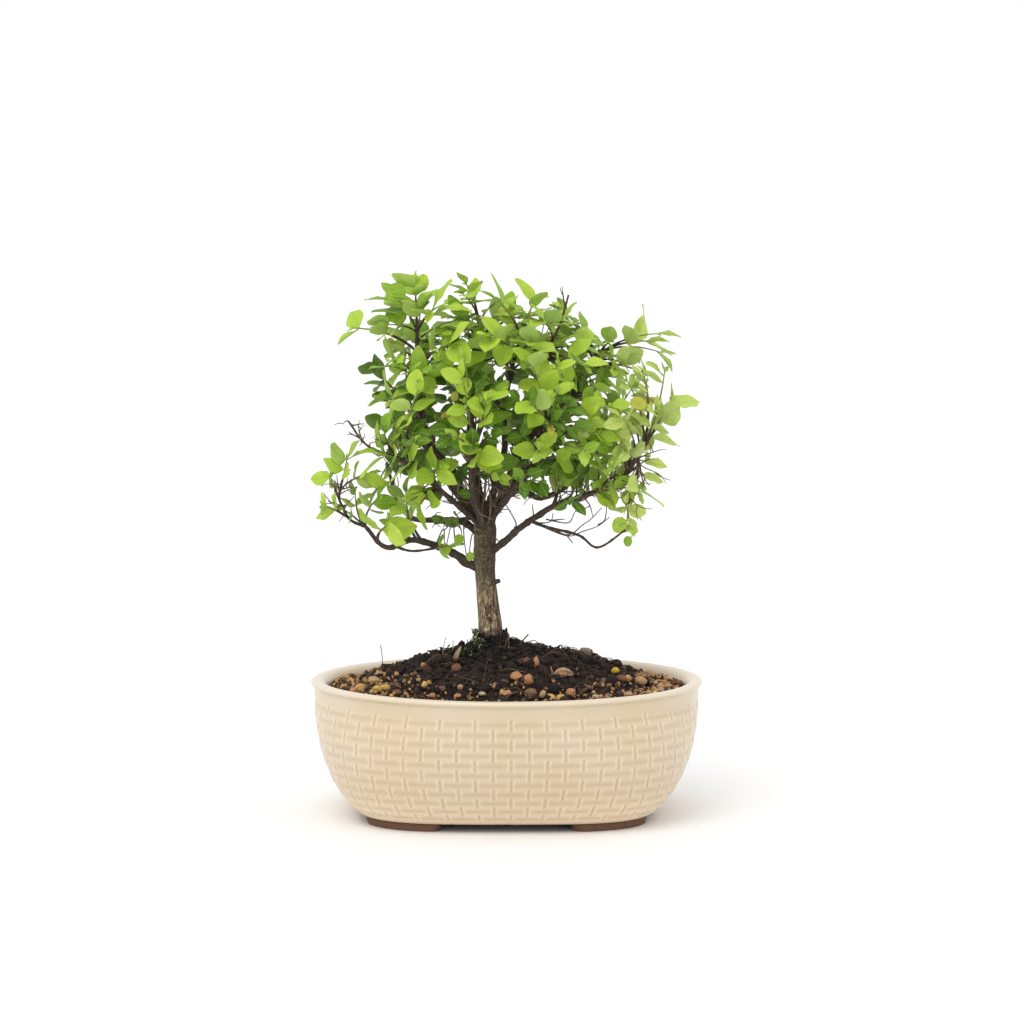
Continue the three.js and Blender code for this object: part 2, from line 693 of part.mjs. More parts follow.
// The leaves of a shoot: pairs, each turned a quarter from the last, and one at the tip.
function growLeaves(shoot, spray) {
  const pairs = Math.ceil((shoot.leaves - 1) / 2);
  const start = drawer(spray * 97)() * Math.PI;
  const leaves = [];
  for (let i = 0; i < shoot.leaves; i += 1) {
    const last = i === shoot.leaves - 1;
    const pair = Math.floor(i / 2);
    const step = pairs > 1 ? pair / (pairs - 1) : 0.5;
    const share = last ? 0.98 : THREE.MathUtils.lerp(FIRST_LEAVES, LAST_LEAVES, step);
    const draw = drawer(spray * 97 + i + 1);
    for (let attempt = 0; attempt < LEAF_TRIES; attempt += 1) {
      const usual = last ? TOP_OPENING : OPENING - OPENING_LESS * pair;
      const spread = THREE.MathUtils.degToRad(usual + (24 + 8 * attempt) * (draw() - 0.5));
      const around = start + pair * Math.PI / 2 + (i % 2) * Math.PI + (0.5 + 0.3 * attempt) * (draw() - 0.5);
      const size = (last ? TOP_SIZE : 1) * (LEAF_LEAST + LEAF_RANGE * draw()) * (1 - 0.07 * attempt);
      const leaf = aimLeaf(shoot.stem, share, spread, around, shoot.length * size, draw);
      const samples = bladeSamples(leaf, spray);
      if (clearOf(samples, spray, leafPoints, wood)) {
        leafPoints.push(...samples);
        leaves.push(leaf);
        break;
      }
    }
  }
  return leaves;
}

// Shoots are sprung from the wood nearest the trunk first, so that later ones can branch off them.
function springShoots() {
  const shoots = [...FRONT_SHOOTS, ...backTips()].map((shoot) => (
    { ...shoot, tip: new THREE.Vector3(...shoot.tip) }
  ));
  const bearing = wood.filter(({ radius }) => radius < 3);
  shoots.forEach((shoot, spray) => {
    const root = springFrom(shoot.tip, bearing);
    const way = new THREE.Vector3().subVectors(shoot.tip, root.point);
    const reach = way.length();
    const bend = root.point.clone()
      .addScaledVector(root.heading, START_ALONG * reach)
      .addScaledVector(way, BEND_AT);
    const curve = new THREE.QuadraticBezierCurve3(root.point, bend, shoot.tip);
    shoot.wood = shareOf(curve, 0, WOODY_SHARE);
    shoot.stem = shareOf(curve, WOODY_SHARE + GAP / reach, 1);
    shoot.rootRadius = Math.min(root.radius * SHOOT_SHARE, THICKEST_SHOOT);
    const count = Math.ceil(reach / 2);
    const samples = traced(curve, count, () => STEM_ROOT_RADIUS, spray);
    samples.forEach((sample, i) => {
      sample.spray = i / count > WOODY_SHARE ? spray : -1;
    });
    wood.push(...samples);
  });
  return shoots;
}

// ---------------------------------------------------------------- leaves and sprays as solids

// Outline of a blade as [share, side] pairs; a small leaf has fewer corners.
const LARGE_OUTLINE = [[0, 0], [0.2, 1], [0.5, 1], [0.8, 1], [1, 0], [0.8, -1], [0.5, -1], [0.2, -1]];
const SMALL_OUTLINE = [[0, 0], [0.32, 1], [0.7, 1], [1, 0], [0.7, -1], [0.32, -1]];
const SMALL_LENGTH = 17;

// A blade of even thickness whose root runs out to one point inside the stem.
function bladeSolid(leaf) {
  const outline = leaf.length < SMALL_LENGTH ? SMALL_OUTLINE : LARGE_OUTLINE;
  const corners = outline.map(([share, side]) => bladePoint(leaf, share, side));
  corners.push(bladePoint(leaf, 0.5, 0));
  const face = (lift) => corners.map((corner, i) => (
    corner.clone().addScaledVector(leaf.up, i === 0 ? 0 : lift)
  ));
  const faces = [...face(BLADE_THICKNESS / 2), ...face(-BLADE_THICKNESS / 2)];
  const positions = faces.flatMap((vertex) => vertex.toArray());
  const count = outline.length;
  const rib = count;
  const below = count + 1;
  const index = [0, 1, count - 1, below, below + count - 1, below + 1];
  const flap = (first, second) => {
    index.push(rib, first, second);
    index.push(below + rib, below + second, below + first);
  };
  flap(count - 1, 1);
  for (let i = 1; i < count - 1; i += 1) {
    flap(i, i + 1);
  }
  for (let i = 0; i < count; i += 1) {
    const next = (i + 1) % count;
    index.push(i, below + next, next);
    index.push(i, below + i, below + next);
  }
  const geometry = new THREE.BufferGeometry();
  geometry.setAttribute('position', new THREE.Float32BufferAttribute(positions, 3));
  geometry.setIndex(index);
  return solidOf(geometry);
}

function stemSolid(shoot) {
  const radiusAt = (share) => THREE.MathUtils.lerp(STEM_ROOT_RADIUS, STEM_TIP_RADIUS, share);
  return solidOf(bentRod(shoot.stem, radiusAt, 3, 2));
}

// Leaves at the front and top are fresh, those at the right edge greyish, those behind deep green.
function greenOf(tip) {
  if (tip.x > 60) {
    return 'grey';
  }
  if (tip.y > 12) {
    return 'deep';
  }
  return tip.y < -26 || tip.z > 258 || tip.x < -70 ? 'fresh' : 'mid';
}

function spraySolid(shoot, spray) {
  return join([stemSolid(shoot), ...growLeaves(shoot, spray).map(bladeSolid)]);
}

// The trunk, limbs and woody ends of all shoots, grown together as one piece.
function treeSolid(shoots) {
  const branches = limbs.map(({ curve, radiusAt, spans }) => (
    solidOf(bentRod(curve, radiusAt, radiusAt(0) > 1.2 ? 5 : 3, Math.ceil(spans * 1.1)))
  ));
  const twigs = shoots.map((shoot) => {
    const radiusAt = (share) => THREE.MathUtils.lerp(shoot.rootRadius, STEM_ROOT_RADIUS, share);
    return solidOf(bentRod(shoot.wood, radiusAt, 3, 1));
  });
  return join([trunkRod(0), ...branches, ...twigs]);
}

// ---------------------------------------------------------------- assembly

const bonsai = new THREE.Group();
bonsai.name = 'serissa_bonsai';
bonsai.add(pieceMesh('pot', potSolid(), GLAZE));
for (const [side, x] of [['left', -HOLE_OFFSET], ['right', HOLE_OFFSET]]) {
  bonsai.add(pieceMesh(`drain_screen_${side}`, screenSolid(x), MESH_PLASTIC));
  bonsai.add(pieceMesh(`drain_wire_${side}`, wireSolid(x), WIRE_METAL));
}
bonsai.add(pieceMesh('gravel_bed', gravelSolid(), GRAVEL));
bonsai.add(pieceMesh('root_ball', rootBallSolid(), COMPOST));

const shoots = springShoots();
bonsai.add(pieceMesh('trunk', treeSolid(shoots), BARK));
shoots.forEach((shoot, spray) => {
  const name = `spray_${String(spray + 1).padStart(2, '0')}`;
  bonsai.add(pieceMesh(name, spraySolid(shoot, spray), LEAF[greenOf(shoot.tip)]));
});

export default bonsai;
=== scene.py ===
# A small serissa grown as a bonsai in an oval glazed pot with four feet.
# Sizes are in millimetres, +Z up, front towards -Y; new_piece turns them into metres.

import math

import bmesh
import bpy
import numpy as np
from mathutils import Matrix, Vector, noise


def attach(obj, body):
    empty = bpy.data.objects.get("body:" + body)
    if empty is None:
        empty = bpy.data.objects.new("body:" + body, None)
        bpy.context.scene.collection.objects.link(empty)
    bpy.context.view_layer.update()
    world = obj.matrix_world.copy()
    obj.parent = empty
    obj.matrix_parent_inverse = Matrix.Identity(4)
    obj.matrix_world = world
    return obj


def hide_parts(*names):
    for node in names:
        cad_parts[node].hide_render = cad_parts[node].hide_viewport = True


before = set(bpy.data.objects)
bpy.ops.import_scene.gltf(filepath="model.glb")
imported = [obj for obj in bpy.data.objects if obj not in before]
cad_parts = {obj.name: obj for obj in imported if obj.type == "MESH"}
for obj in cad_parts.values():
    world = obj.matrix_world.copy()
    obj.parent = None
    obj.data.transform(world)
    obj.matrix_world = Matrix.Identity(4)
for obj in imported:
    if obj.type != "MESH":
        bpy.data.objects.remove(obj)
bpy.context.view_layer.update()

# ------------------------------------------------------------------ view
# The tree stands a little below eye level, seen square on from the front with a long lens.
# The frame is square, and about half a metre across at the tree.

MM = 0.001
CAMERA_PLACE = (2.8, -1800.0, 362.0)
CAMERA_TARGET = (2.8, 0.0, 154.3)
SENSOR = 36.0
LENS = 125.2

camera = bpy.data.objects.new("camera", bpy.data.cameras.new("camera"))
camera.data.sensor_width = SENSOR
camera.data.lens = LENS
camera.location = Vector(CAMERA_PLACE) * MM
camera.rotation_euler = (Vector(CAMERA_TARGET) - Vector(CAMERA_PLACE)).to_track_quat("-Z", "Y").to_euler()
bpy.context.scene.collection.objects.link(camera)
bpy.context.scene.camera = camera
bpy.context.scene.view_settings.view_transform = "Standard"

# ------------------------------------------------------------------ pot
# The pot is cast stoneware, fired once with a thick cream glaze that softens the woven relief
# pressed into its wall. Its underside, drain holes and four feet are bare brown clay.

FOOT_HEIGHT = 4.0
WALL_TOP = 66.0
BASE_HALF = 74.0
SHOULDER_HALF = 98.3
WALL_FULLNESS = 2.4
WALL_SWEEP = 1.3
OVAL_RATIO = 0.765            # width over length
BASE_SQUARENESS = 1.6         # the oval is this much squarer at the base than at the rim
TRUE_OVAL_HEIGHT = 60.0       # and a true ellipse from here up
WALL_THICKNESS = 7.6
FLOOR_TOP = 10.0
HOLE_OFFSET = 34.0
HOLE_RADIUS = 9.0

BRICKS_ROUND = 31             # woven bricks in one row
BRICK_PHASE = 0.138           # how far the first joint is from the front middle
COLUMNS = 806                 # 26 to a brick
CROWDING = 0.5                # columns stand this much closer together at the joints
RELIEF_FROM = 6.2             # along the wall, down from its top
ROW_PITCH = 5.29
RELIEF_TO = 63.4
RELIEF_DEPTH = 0.42
JOINT_HALF = 0.62             # half width of the upright groove at a joint
JOINT_REACH = 0.62            # half its height, over the pitch of the rows
POCKET_CLEAR = 1.9            # from a joint to the end of the level pocket beside it
POCKET_SHARE = 0.95           # depth of a pocket over that of a joint
RIB_RISE = 0.22               # the clay stands up a little along the joints
RELIEF_UNEVEN = 0.35          # the pressing is this much deeper or shallower from place to place
BARE_BELOW = 4.08             # the underside, up to here, has no glaze
HEIGHT_TINTS_AND_PAINTED_LIGHT = [              # from a height to a height, how much of a colour at most, the colour
    # Darker from 44 down to 22 mm; lighter again towards the bottom below 20 mm, painted light over the
    # shade there.
    (44.0, 22.0, 0.4, (212, 190, 158)), (20.0, 5.0, 0.9, (240, 218, 186)),
    # Painted highlight: the top of the rim is lighter.
    (66.6, 68.4, 0.75, (231, 216, 193)),
]
RELIEF_LIGHT_SHADE_AND_POOLING = [              # the same from a depth to a depth: on the ribs, and in the pockets
    # Painted highlight on the ribs; in the pockets partly pooled glaze and partly painted shade.
    (-0.05, -0.4, 0.5, (240, 222, 195)), (0.1, 0.8, 0.46, (194, 171, 136)),
]


def wall_half(height):
    rise = np.clip((height - FOOT_HEIGHT) / (WALL_TOP - FOOT_HEIGHT), 0, 1)
    swell = (1 - (1 - rise) ** WALL_FULLNESS) ** (1 / WALL_SWEEP)
    return BASE_HALF + (SHOULDER_HALF - BASE_HALF) * swell


def oval_exponent(height):
    drop = (TRUE_OVAL_HEIGHT - height) / (TRUE_OVAL_HEIGHT - FOOT_HEIGHT)
    return 2 + BASE_SQUARENESS * min(max(drop, 0), 1)


def evenly(columns):
    return np.arange(columns) / columns


def oval_ring(half_length, half_width, exponent, shares):
    """Points at shares of the way round an oval, from the front middle by way of the right end."""
    turn = np.linspace(0, 1, 481)
    angle = np.pi / 2 * (0.5 - 0.5 * np.cos(np.pi * turn))
    x = half_length * np.abs(np.sin(angle)) ** (2 / exponent)
    y = half_width * np.abs(np.cos(angle)) ** (2 / exponent)
    way = np.concatenate([[0], np.cumsum(np.hypot(np.diff(x), np.diff(y)))])
    quarter = np.floor(4 * shares) % 4
    along = 4 * shares % 1
    along = np.where(quarter % 2 == 1, 1 - along, along)
    to_right = np.where(quarter < 2, 1, -1)
    to_back = np.where((quarter == 1) | (quarter == 2), 1, -1)
    share = way / way[-1]
    return np.stack([to_right * np.interp(along, share, x), to_back * np.interp(along, share, y)], 1)


def lofted(rings, first_pole, last_pole):
    """A closed skin over rings of points with the same count, with a pole at each end."""
    count = rings.shape[1]
    points = np.concatenate([rings.reshape(-1, 3), [first_pole, last_pole]])
    first = len(points) - 2
    row = np.arange(count)
    after = np.roll(row, -1)
    faces = [np.stack([np.full(count, first), after, row], 1)]
    for level in range(len(rings) - 1):
        low, high = level * count, (level + 1) * count
        faces.append(np.stack([low + row, low + after, high + after], 1))
        faces.append(np.stack([low + row, high + after, high + row], 1))
    top = (len(rings) - 1) * count
    faces.append(np.stack([top + row, top + after, np.full(count, first + 1)], 1))
    return points, np.concatenate(faces)


def new_piece(name, points, triangles, materials, marks=None, face_material=None):
    """A smooth mesh object from millimetres; marks are values kept at its vertices."""
    mesh = bpy.data.meshes.new(name)
    mesh.vertices.add(len(points))
    mesh.vertices.foreach_set("co", (np.asarray(points) * MM).astype(np.float32).ravel())
    mesh.loops.add(3 * len(triangles))
    mesh.loops.foreach_set("vertex_index", np.asarray(triangles, np.int32).ravel())
    mesh.polygons.add(len(triangles))
    mesh.polygons.foreach_set("loop_start", np.arange(0, 3 * len(triangles), 3, dtype=np.int32))
    for material in materials:
        mesh.materials.append(material)
    if face_material is not None:
        mesh.polygons.foreach_set("material_index", np.asarray(face_material, np.int32))
    mesh.update(calc_edges=True)
    for label, values in (marks or {}).items():
        values = np.asarray(values, np.float32)
        if values.ndim == 1:
            mesh.attributes.new(label, "FLOAT", "POINT").data.foreach_set("value", values)
        else:
            mesh.attributes.new(label, "FLOAT_VECTOR", "POINT").data.foreach_set("vector", values.ravel())
    mesh.shade_smooth()
    piece = bpy.data.objects.new(name, mesh)
    bpy.context.scene.collection.objects.link(piece)
    return piece


def linear(red, green, blue):
    """A colour given as it looks on a screen, from 0 to 255, in linear light."""
    return tuple((value / 255) ** 2.2 for value in (red, green, blue)) + (1.0,)


def new_finish(name, roughness, **sockets):
    """A material and its shader; sockets are the shader's own even values."""
    material = bpy.data.materials.new(name)
    material.use_nodes = True
    shader = material.node_tree.nodes["Principled BSDF"]
    shader.inputs["Roughness"].default_value = roughness
    for label, value in sockets.items():
        shader.inputs[label.replace("_", " ")].default_value = value
    return material, shader


def add_node(tree, kind, inputs=None, **settings):
    """A shader node; inputs are values or other nodes' sockets, by name or place."""
    made = tree.nodes.new(kind)
    for label, value in settings.items():
        setattr(made, label, value)
    for label, value in (inputs or {}).items():
        if isinstance(value, bpy.types.NodeSocket):
            tree.links.new(value, made.inputs[label])
        else:
            made.inputs[label].default_value = value
    return made


def scaled(tree, vector, by):
    return add_node(tree, "ShaderNodeVectorMath", {0: vector, 3: by}, operation="SCALE").outputs[0]


def place_in_mm(tree):
    return scaled(tree, add_node(tree, "ShaderNodeTexCoord").outputs["Object"], 1 / MM)


def xyz_of(tree, vector):
    return add_node(tree, "ShaderNodeSeparateXYZ", {0: vector}).outputs


def mark(tree, label):
    return add_node(tree, "ShaderNodeAttribute", attribute_name=label).outputs


def noise_of(tree, vector, scale, detail, roughness=0.5):
    made = add_node(tree, "ShaderNodeTexNoise", {
        "Vector": vector, "Scale": scale, "Detail": detail, "Roughness": roughness,
    })
    return made.outputs["Fac"]


def spread(tree, value, low, high, to_low=0.0, to_high=1.0):
    """The value's range from low to high, opened out and clipped."""
    made = add_node(tree, "ShaderNodeMapRange", {0: value, 1: low, 2: high, 3: to_low, 4: to_high})
    return made.outputs[0]


def ramp(tree, value, stops):
    """A colour for each value; stops are places and colours as they look on a screen."""
    made = add_node(tree, "ShaderNodeValToRGB", {"Fac": value})
    elements = made.color_ramp.elements
    while len(elements) < len(stops):
        elements.new(0.5)
    for element, (place, color) in zip(elements, stops):
        element.position = place
        element.color = linear(*color)
    return made.outputs["Color"]


def mixed(tree, share, first, second):
    """Two colours mixed; each is a socket, or a colour as it looks on a screen."""
    first, second = (linear(*color) if isinstance(color, tuple) else color for color in (first, second))
    return add_node(tree, "ShaderNodeMix", {0: share, 6: first, 7: second}, data_type="RGBA").outputs[2]


def math_of(tree, operation, first, second=0.0):
    return add_node(tree, "ShaderNodeMath", {0: first, 1: second}, operation=operation).outputs[0]


def product(tree, first, second):
    return math_of(tree, "MULTIPLY", first, second)


def total(tree, first, second):
    return math_of(tree, "ADD", first, second)


def raise_by(tree, shader, height, distance):
    """Bump: height is in units of distance, and distance in millimetres."""
    made = add_node(tree, "ShaderNodeBump", {"Height": height, "Distance": distance * MM, "Strength": 1.0})
    tree.links.new(made.outputs["Normal"], shader.inputs["Normal"])


def glaze_finish():
    material, shader = new_finish("cream_glaze", 0.3, Coat_Weight=0.35, Coat_Roughness=0.12)
    tree = material.node_tree
    place = place_in_mm(tree)
    height = xyz_of(tree, place)["Z"]
    broad = spread(tree, noise_of(tree, place, 0.028, 2.0), 0.35, 0.65)
    color = ramp(tree, broad, [(0.0, (217, 200, 175)), (1.0, (213, 194, 162))])
    # By height: painted light over the base and a painted highlight on the rim's top.
    for low, high, most, tint in HEIGHT_TINTS_AND_PAINTED_LIGHT:
        color = mixed(tree, spread(tree, height, low, high, 0.0, most), color, tint)
    fine = spread(tree, noise_of(tree, place, 0.7, 4.0), 0.3, 0.7)
    color = mixed(tree, product(tree, fine, 0.14), color, (184, 160, 126))
    # The woven relief: a painted highlight on the ribs, and in the pockets pooled glaze with painted shade.
    recess = mark(tree, "recess")["Fac"]
    for low, high, most, tint in RELIEF_LIGHT_SHADE_AND_POOLING:
        color = mixed(tree, spread(tree, recess, low, high, 0.0, most), color, tint)
    # Thin glaze shows the clay inside the pot and at the foot of the wall; under the rim's roll this darker
    # tint is painted shade.
    patchy = spread(tree, noise_of(tree, place, 0.16, 3.0), 0.3, 0.6, 0.25, 0.9)
    color = mixed(tree, product(tree, mark(tree, "thin_glaze_and_rim_shade")["Fac"], patchy), color, (170, 142, 108))
    cells = add_node(tree, "ShaderNodeTexVoronoi", {"Vector": place, "Scale": 0.055})
    dot = math_of(tree, "LESS_THAN", cells.outputs["Distance"], 0.022)
    chosen = add_node(tree, "ShaderNodeSeparateColor", {0: cells.outputs["Color"]}).outputs[0]
    dot = product(tree, dot, math_of(tree, "GREATER_THAN", chosen, 0.72))
    color = mixed(tree, dot, color, (88, 66, 50))
    tree.links.new(color, shader.inputs["Base Color"])
    tree.links.new(spread(tree, fine, 0.0, 1.0, 0.24, 0.36), shader.inputs["Roughness"])
    raise_by(tree, shader, total(tree, noise_of(tree, place, 0.35, 2.0), product(tree, fine, 0.2)), 0.14)
    return material


def clay_finish():
    material, shader = new_finish("bare_clay", 0.75)
    tree = material.node_tree
    place = place_in_mm(tree)
    grain = noise_of(tree, place, 1.6, 5.0, 0.65)
    color = ramp(tree, grain, [(0.25, (76, 52, 39)), (0.5, (107, 77, 59)), (0.75, (129, 97, 76))])
    shaded = spread(tree, xyz_of(tree, place)["Z"], 2.6, 4.2, 0.0, 0.55)
    color = mixed(tree, shaded, color, (66, 45, 35))
    tree.links.new(color, shader.inputs["Base Color"])
    raise_by(tree, shader, grain, 0.25)
    return material


def smooth_step(low, high, value):
    share = np.clip((value - low) / (high - low), 0, 1)
    return share * share * (3 - 2 * share)


def weave(way_round, way_down, brick_length):
    """Depth of the woven relief, from 0 to 1, and its raised ribs, over the wall."""
    row = (way_down - RELIEF_FROM) / ROW_PITCH
    depth = np.zeros_like(way_round)
    rib = np.zeros_like(way_round)
    for level in range(max(0, math.floor(row) - 1), math.floor(row) + 2):
        brick = (way_round * BRICKS_ROUND - BRICK_PHASE + 0.5 * (level % 2)) % 1
        from_joint = np.minimum(brick, 1 - brick) * brick_length
        from_middle = abs(row - level - 0.5)
        joint_window = 1 - smooth_step(JOINT_REACH - 0.1, JOINT_REACH + 0.06, from_middle)
        joint = (1 - smooth_step(0.3 * JOINT_HALF, 1.9 * JOINT_HALF, from_joint)) * joint_window
        long_window = smooth_step(POCKET_CLEAR - 1.2, POCKET_CLEAR + 1.0, from_joint)
        pocket = long_window * (1 - smooth_step(0.0, 0.38, from_middle))
        depth = np.maximum(depth, np.maximum(joint, POCKET_SHARE * pocket))
        rib = np.maximum(rib, (1 - smooth_step(1.1, 2.6, from_joint)) * joint_window * (1 - joint))
    inside = smooth_step(-0.4, 0.5, way_down - RELIEF_FROM) * smooth_step(0, 1.5, RELIEF_TO - way_down)
    return depth * inside, rib * inside


def pot_profile():
    """Rows from the underside's middle over the wall and rim to the inside floor."""
    heights = np.linspace(FOOT_HEIGHT, WALL_TOP, 1500)
    front = wall_half(heights) * OVAL_RATIO
    steps = np.hypot(np.diff(front), np.diff(heights))
    down = np.concatenate([[0], np.cumsum(steps)])
    down = down[-1] - down
    stations = np.linspace(65.6, 1.2, 82)
    wall = [(wall_half(z), z, s) for z, s in zip(np.interp(-stations, -down, heights), stations)]
    foot_edge = [(40, 4.0), (73.2, 4.0), (73.9, 4.1)]
    rim = [
        (98.45, 65.2), (98.5, 65.7), (98.9, 66.1), (99.55, 66.5), (99.95, 67.1), (99.95, 67.8), (99.5, 68.4),
        (98.7, 68.82), (97.4, 69.0), (96.0, 68.95), (94.8, 68.7), (93.6, 68.1), (92.5, 67.1), (91.6, 65.6),
    ]
    inside = [(wall_half(z) - WALL_THICKNESS, z) for z in (62, 56, 46, 36, 28, 22, 17)]
    inside += [(wall_half(13) - WALL_THICKNESS - 1.4, 12.6), (wall_half(13) - WALL_THICKNESS - 4.2, 10.6)]
    inside += [(wall_half(13) - WALL_THICKNESS - 8, FLOOR_TOP), (40, FLOOR_TOP)]
    return foot_edge, wall, rim, inside


def pot_skin():
    foot_edge, wall, rim, inside = pot_profile()
    rows = [(half, z, None) for half, z in foot_edge] + wall + [(half, z, None) for half, z in rim + inside]
    inner_from = len(foot_edge) + len(wall) + len(rim)
    half_bricks = 2 * np.pi * 2 * BRICKS_ROUND
    even = evenly(COLUMNS)
    way_round = even - CROWDING * np.sin(half_bricks * (even - BRICK_PHASE / BRICKS_ROUND)) / half_bricks
    rings = np.zeros((len(rows), COLUMNS, 3))
    for level, (half, z, _) in enumerate(rows):
        shorten = WALL_THICKNESS * (1 - OVAL_RATIO) * min(1, half / 20) if level >= inner_from else 0
        ease = np.clip((98 - half) / 8, 0, 1) if inner_from - 6 <= level < inner_from else 0
        shorten += WALL_THICKNESS * (1 - OVAL_RATIO) * ease
        ring = oval_ring(half, half * OVAL_RATIO - shorten, oval_exponent(z), way_round % 1)
        rings[level, :, :2] = ring
        rings[level, :, 2] = z
    around = np.roll(rings, -1, 1) - np.roll(rings, 1, 1)
    upward = np.gradient(rings, axis=0)
    out = np.cross(around, upward)
    out /= np.linalg.norm(out, axis=2, keepdims=True)
    recess = np.zeros(rings.shape[:2])
    thin = np.zeros(rings.shape[:2])
    for level, (half, z, down) in enumerate(rows):
        if down is not None:
            round_length = np.linalg.norm(around[level] / 2, axis=1).sum()
            depth, rib = weave(way_round, down, round_length / BRICKS_ROUND)
            wobble = np.array([noise.noise(Vector(p) * 0.09) for p in rings[level]])
            stand = (RIB_RISE * rib - RELIEF_DEPTH * depth) * (1 + RELIEF_UNEVEN * wobble)
            rings[level] += out[level] * stand[:, None]
            recess[level] = depth - 0.5 * rib
            thin[level] = 0.08 * smooth_step(64.6, 65.4, down)
        # Under the rim's roll: painted shade, in the thin-glaze tint.
        elif 65.0 < z < 66.6 and half > 98:
            thin[level] = 0.2 - 0.15 * abs(z - 65.8)
        elif level >= inner_from:
            thin[level] = 0.8
    points, triangles = lofted(rings, (0, 0, FOOT_HEIGHT), (0, 0, FLOOR_TOP))
    marks = {"recess": np.append(recess, [0, 0]), "thin_glaze_and_rim_shade": np.append(thin, [0, 0])}
    bare = (points[triangles].mean(1)[:, 2] < BARE_BELOW).astype(int)
    return points, triangles, marks, bare


FOOT_OUTER_HALF = 73.4
FOOT_INNER_HALF = 60.0
FOOT_FAR_X = 72.2
FOOT_NEAR_X = 31.0
FOOT_LEVELS = [(0.0, 1.5), (0.1, 1.1), (0.4, 0.8), (1.6, 0.4), (4.0, 0.0), (4.8, 0.0)]  # height, inset


def foot_outline(inset):
    """One foot from above: between two ovals, with its ends rounded, drawn in by an inset."""
    exponent = oval_exponent(FOOT_HEIGHT)
    outer, inner = FOOT_OUTER_HALF - 0.2 * inset, FOOT_INNER_HALF + 0.5 * inset
    far, near = FOOT_FAR_X - inset, FOOT_NEAR_X + 1.15 * inset
    ends = []
    for half in (outer, inner):
        start = math.acos(min(far / half, 0.985) ** (exponent / 2))
        stop = math.acos((near / half) ** (exponent / 2))
        angle = np.linspace(start, stop, 22)
        x = half * np.cos(angle) ** (2 / exponent)
        y = half * OVAL_RATIO * np.sin(angle) ** (2 / exponent)
        ends.append(np.stack([x, y], 1))
    outline = np.concatenate([ends[0], ends[1][::-1]])
    for _ in range(2):
        outline = 0.5 * outline + 0.25 * (np.roll(outline, 1, 0) + np.roll(outline, -1, 0))
    return outline


def foot_skin(along_x, along_y):
    rings = []
    for height, inset in FOOT_LEVELS:
        outline = foot_outline(inset) * (along_x, along_y)
        outline = outline if along_x * along_y > 0 else outline[::-1]
        rings.append(np.column_stack([outline, np.full(len(outline), height)]))
    rings = np.array(rings)
    low, high = rings[0].mean(0), rings[-1].mean(0)
    return lofted(rings, low, high)


def cut_or_join(piece, other, operation):
    step = piece.modifiers.new("step", "BOOLEAN")
    step.operation = operation
    step.solver = "MANIFOLD"
    step.object = other
    bpy.context.view_layer.objects.active = piece
    bpy.ops.object.modifier_apply(modifier=step.name)
    bpy.data.objects.remove(other)


glaze = glaze_finish()
clay = clay_finish()
points, triangles, marks, bare = pot_skin()
pot = new_piece("oval_pot", points, triangles, [glaze, clay], marks, bare)
for along_x in (-1, 1):
    for along_y in (-1, 1):
        points, triangles = foot_skin(along_x, along_y)
        foot = new_piece("foot", points, triangles, [glaze, clay], None, np.ones(len(triangles)))
        cut_or_join(pot, foot, "UNION")
for side in (-1, 1):
    turn = np.linspace(0, 2 * np.pi, 48, endpoint=False)
    bore = np.stack([HOLE_RADIUS * np.cos(turn) + side * HOLE_OFFSET, HOLE_RADIUS * np.sin(turn)], 1)
    rings = np.array([np.column_stack([bore, np.full(48, z)]) for z in (2.0, 12.0)])
    points, triangles = lofted(rings, (side * HOLE_OFFSET, 0, 2.0), (side * HOLE_OFFSET, 0, 12.0))
    drill = new_piece("drill", points, triangles, [glaze, clay], None, np.ones(len(triangles)))
    cut_or_join(pot, drill, "DIFFERENCE")
pot.data.shade_smooth()
pot.data.set_sharp_from_angle(angle=math.radians(50))
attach(pot, "root")
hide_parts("pot")

# ------------------------------------------------------------------ drain screens and wires
# A square of black plastic mesh lies over each drain hole, so that the soil stays in. A bent
# wire staple holds it: its legs go down through the hole and its loops lie under the pot.

GAP = 0.35
SCREEN_THICKNESS = 0.9
WIRE_RADIUS = 0.6


def unit(vectors):
    return vectors / np.maximum(np.linalg.norm(vectors, axis=-1, keepdims=True), 1e-9)


def curve_at(path, shares):
    """Points of a smooth curve through the path's points, at shares of its spans."""
    knots = np.asarray(path, float)
    knots = np.concatenate([[2 * knots[0] - knots[1]], knots, [2 * knots[-1] - knots[-2]]])
    spans = len(path) - 1
    place = shares * spans
    first = np.minimum(place.astype(int), spans - 1)
    t = (place - first)[:, None]
    p0, p1, p2, p3 = (knots[first + k] for k in range(4))
    slope, next_slope = 0.5 * (p2 - p0), 0.5 * (p3 - p1)
    a = 2 * p1 - 2 * p2 + slope + next_slope
    b = -3 * p1 + 3 * p2 - 2 * slope - next_slope
    return ((a * t + b) * t + slope) * t + p1


def spline(path, steps_per_span):
    spans = len(path) - 1
    return curve_at(path, np.linspace(0, 1, spans * steps_per_span + 1))


def rod_frames(path):
    """Headings and two cross directions along a path, carried along without a twist."""
    heading = unit(np.gradient(path, axis=0))
    side = np.zeros_like(path)
    start = np.eye(3)[np.argmin(np.abs(heading[0]))]
    side[0] = unit(np.cross(heading[0], start))
    for i in range(1, len(path)):
        carried = side[i - 1] - heading[i] * (side[i - 1] @ heading[i])
        side[i] = carried / math.sqrt(carried @ carried)
    return heading, side, np.cross(heading, side)


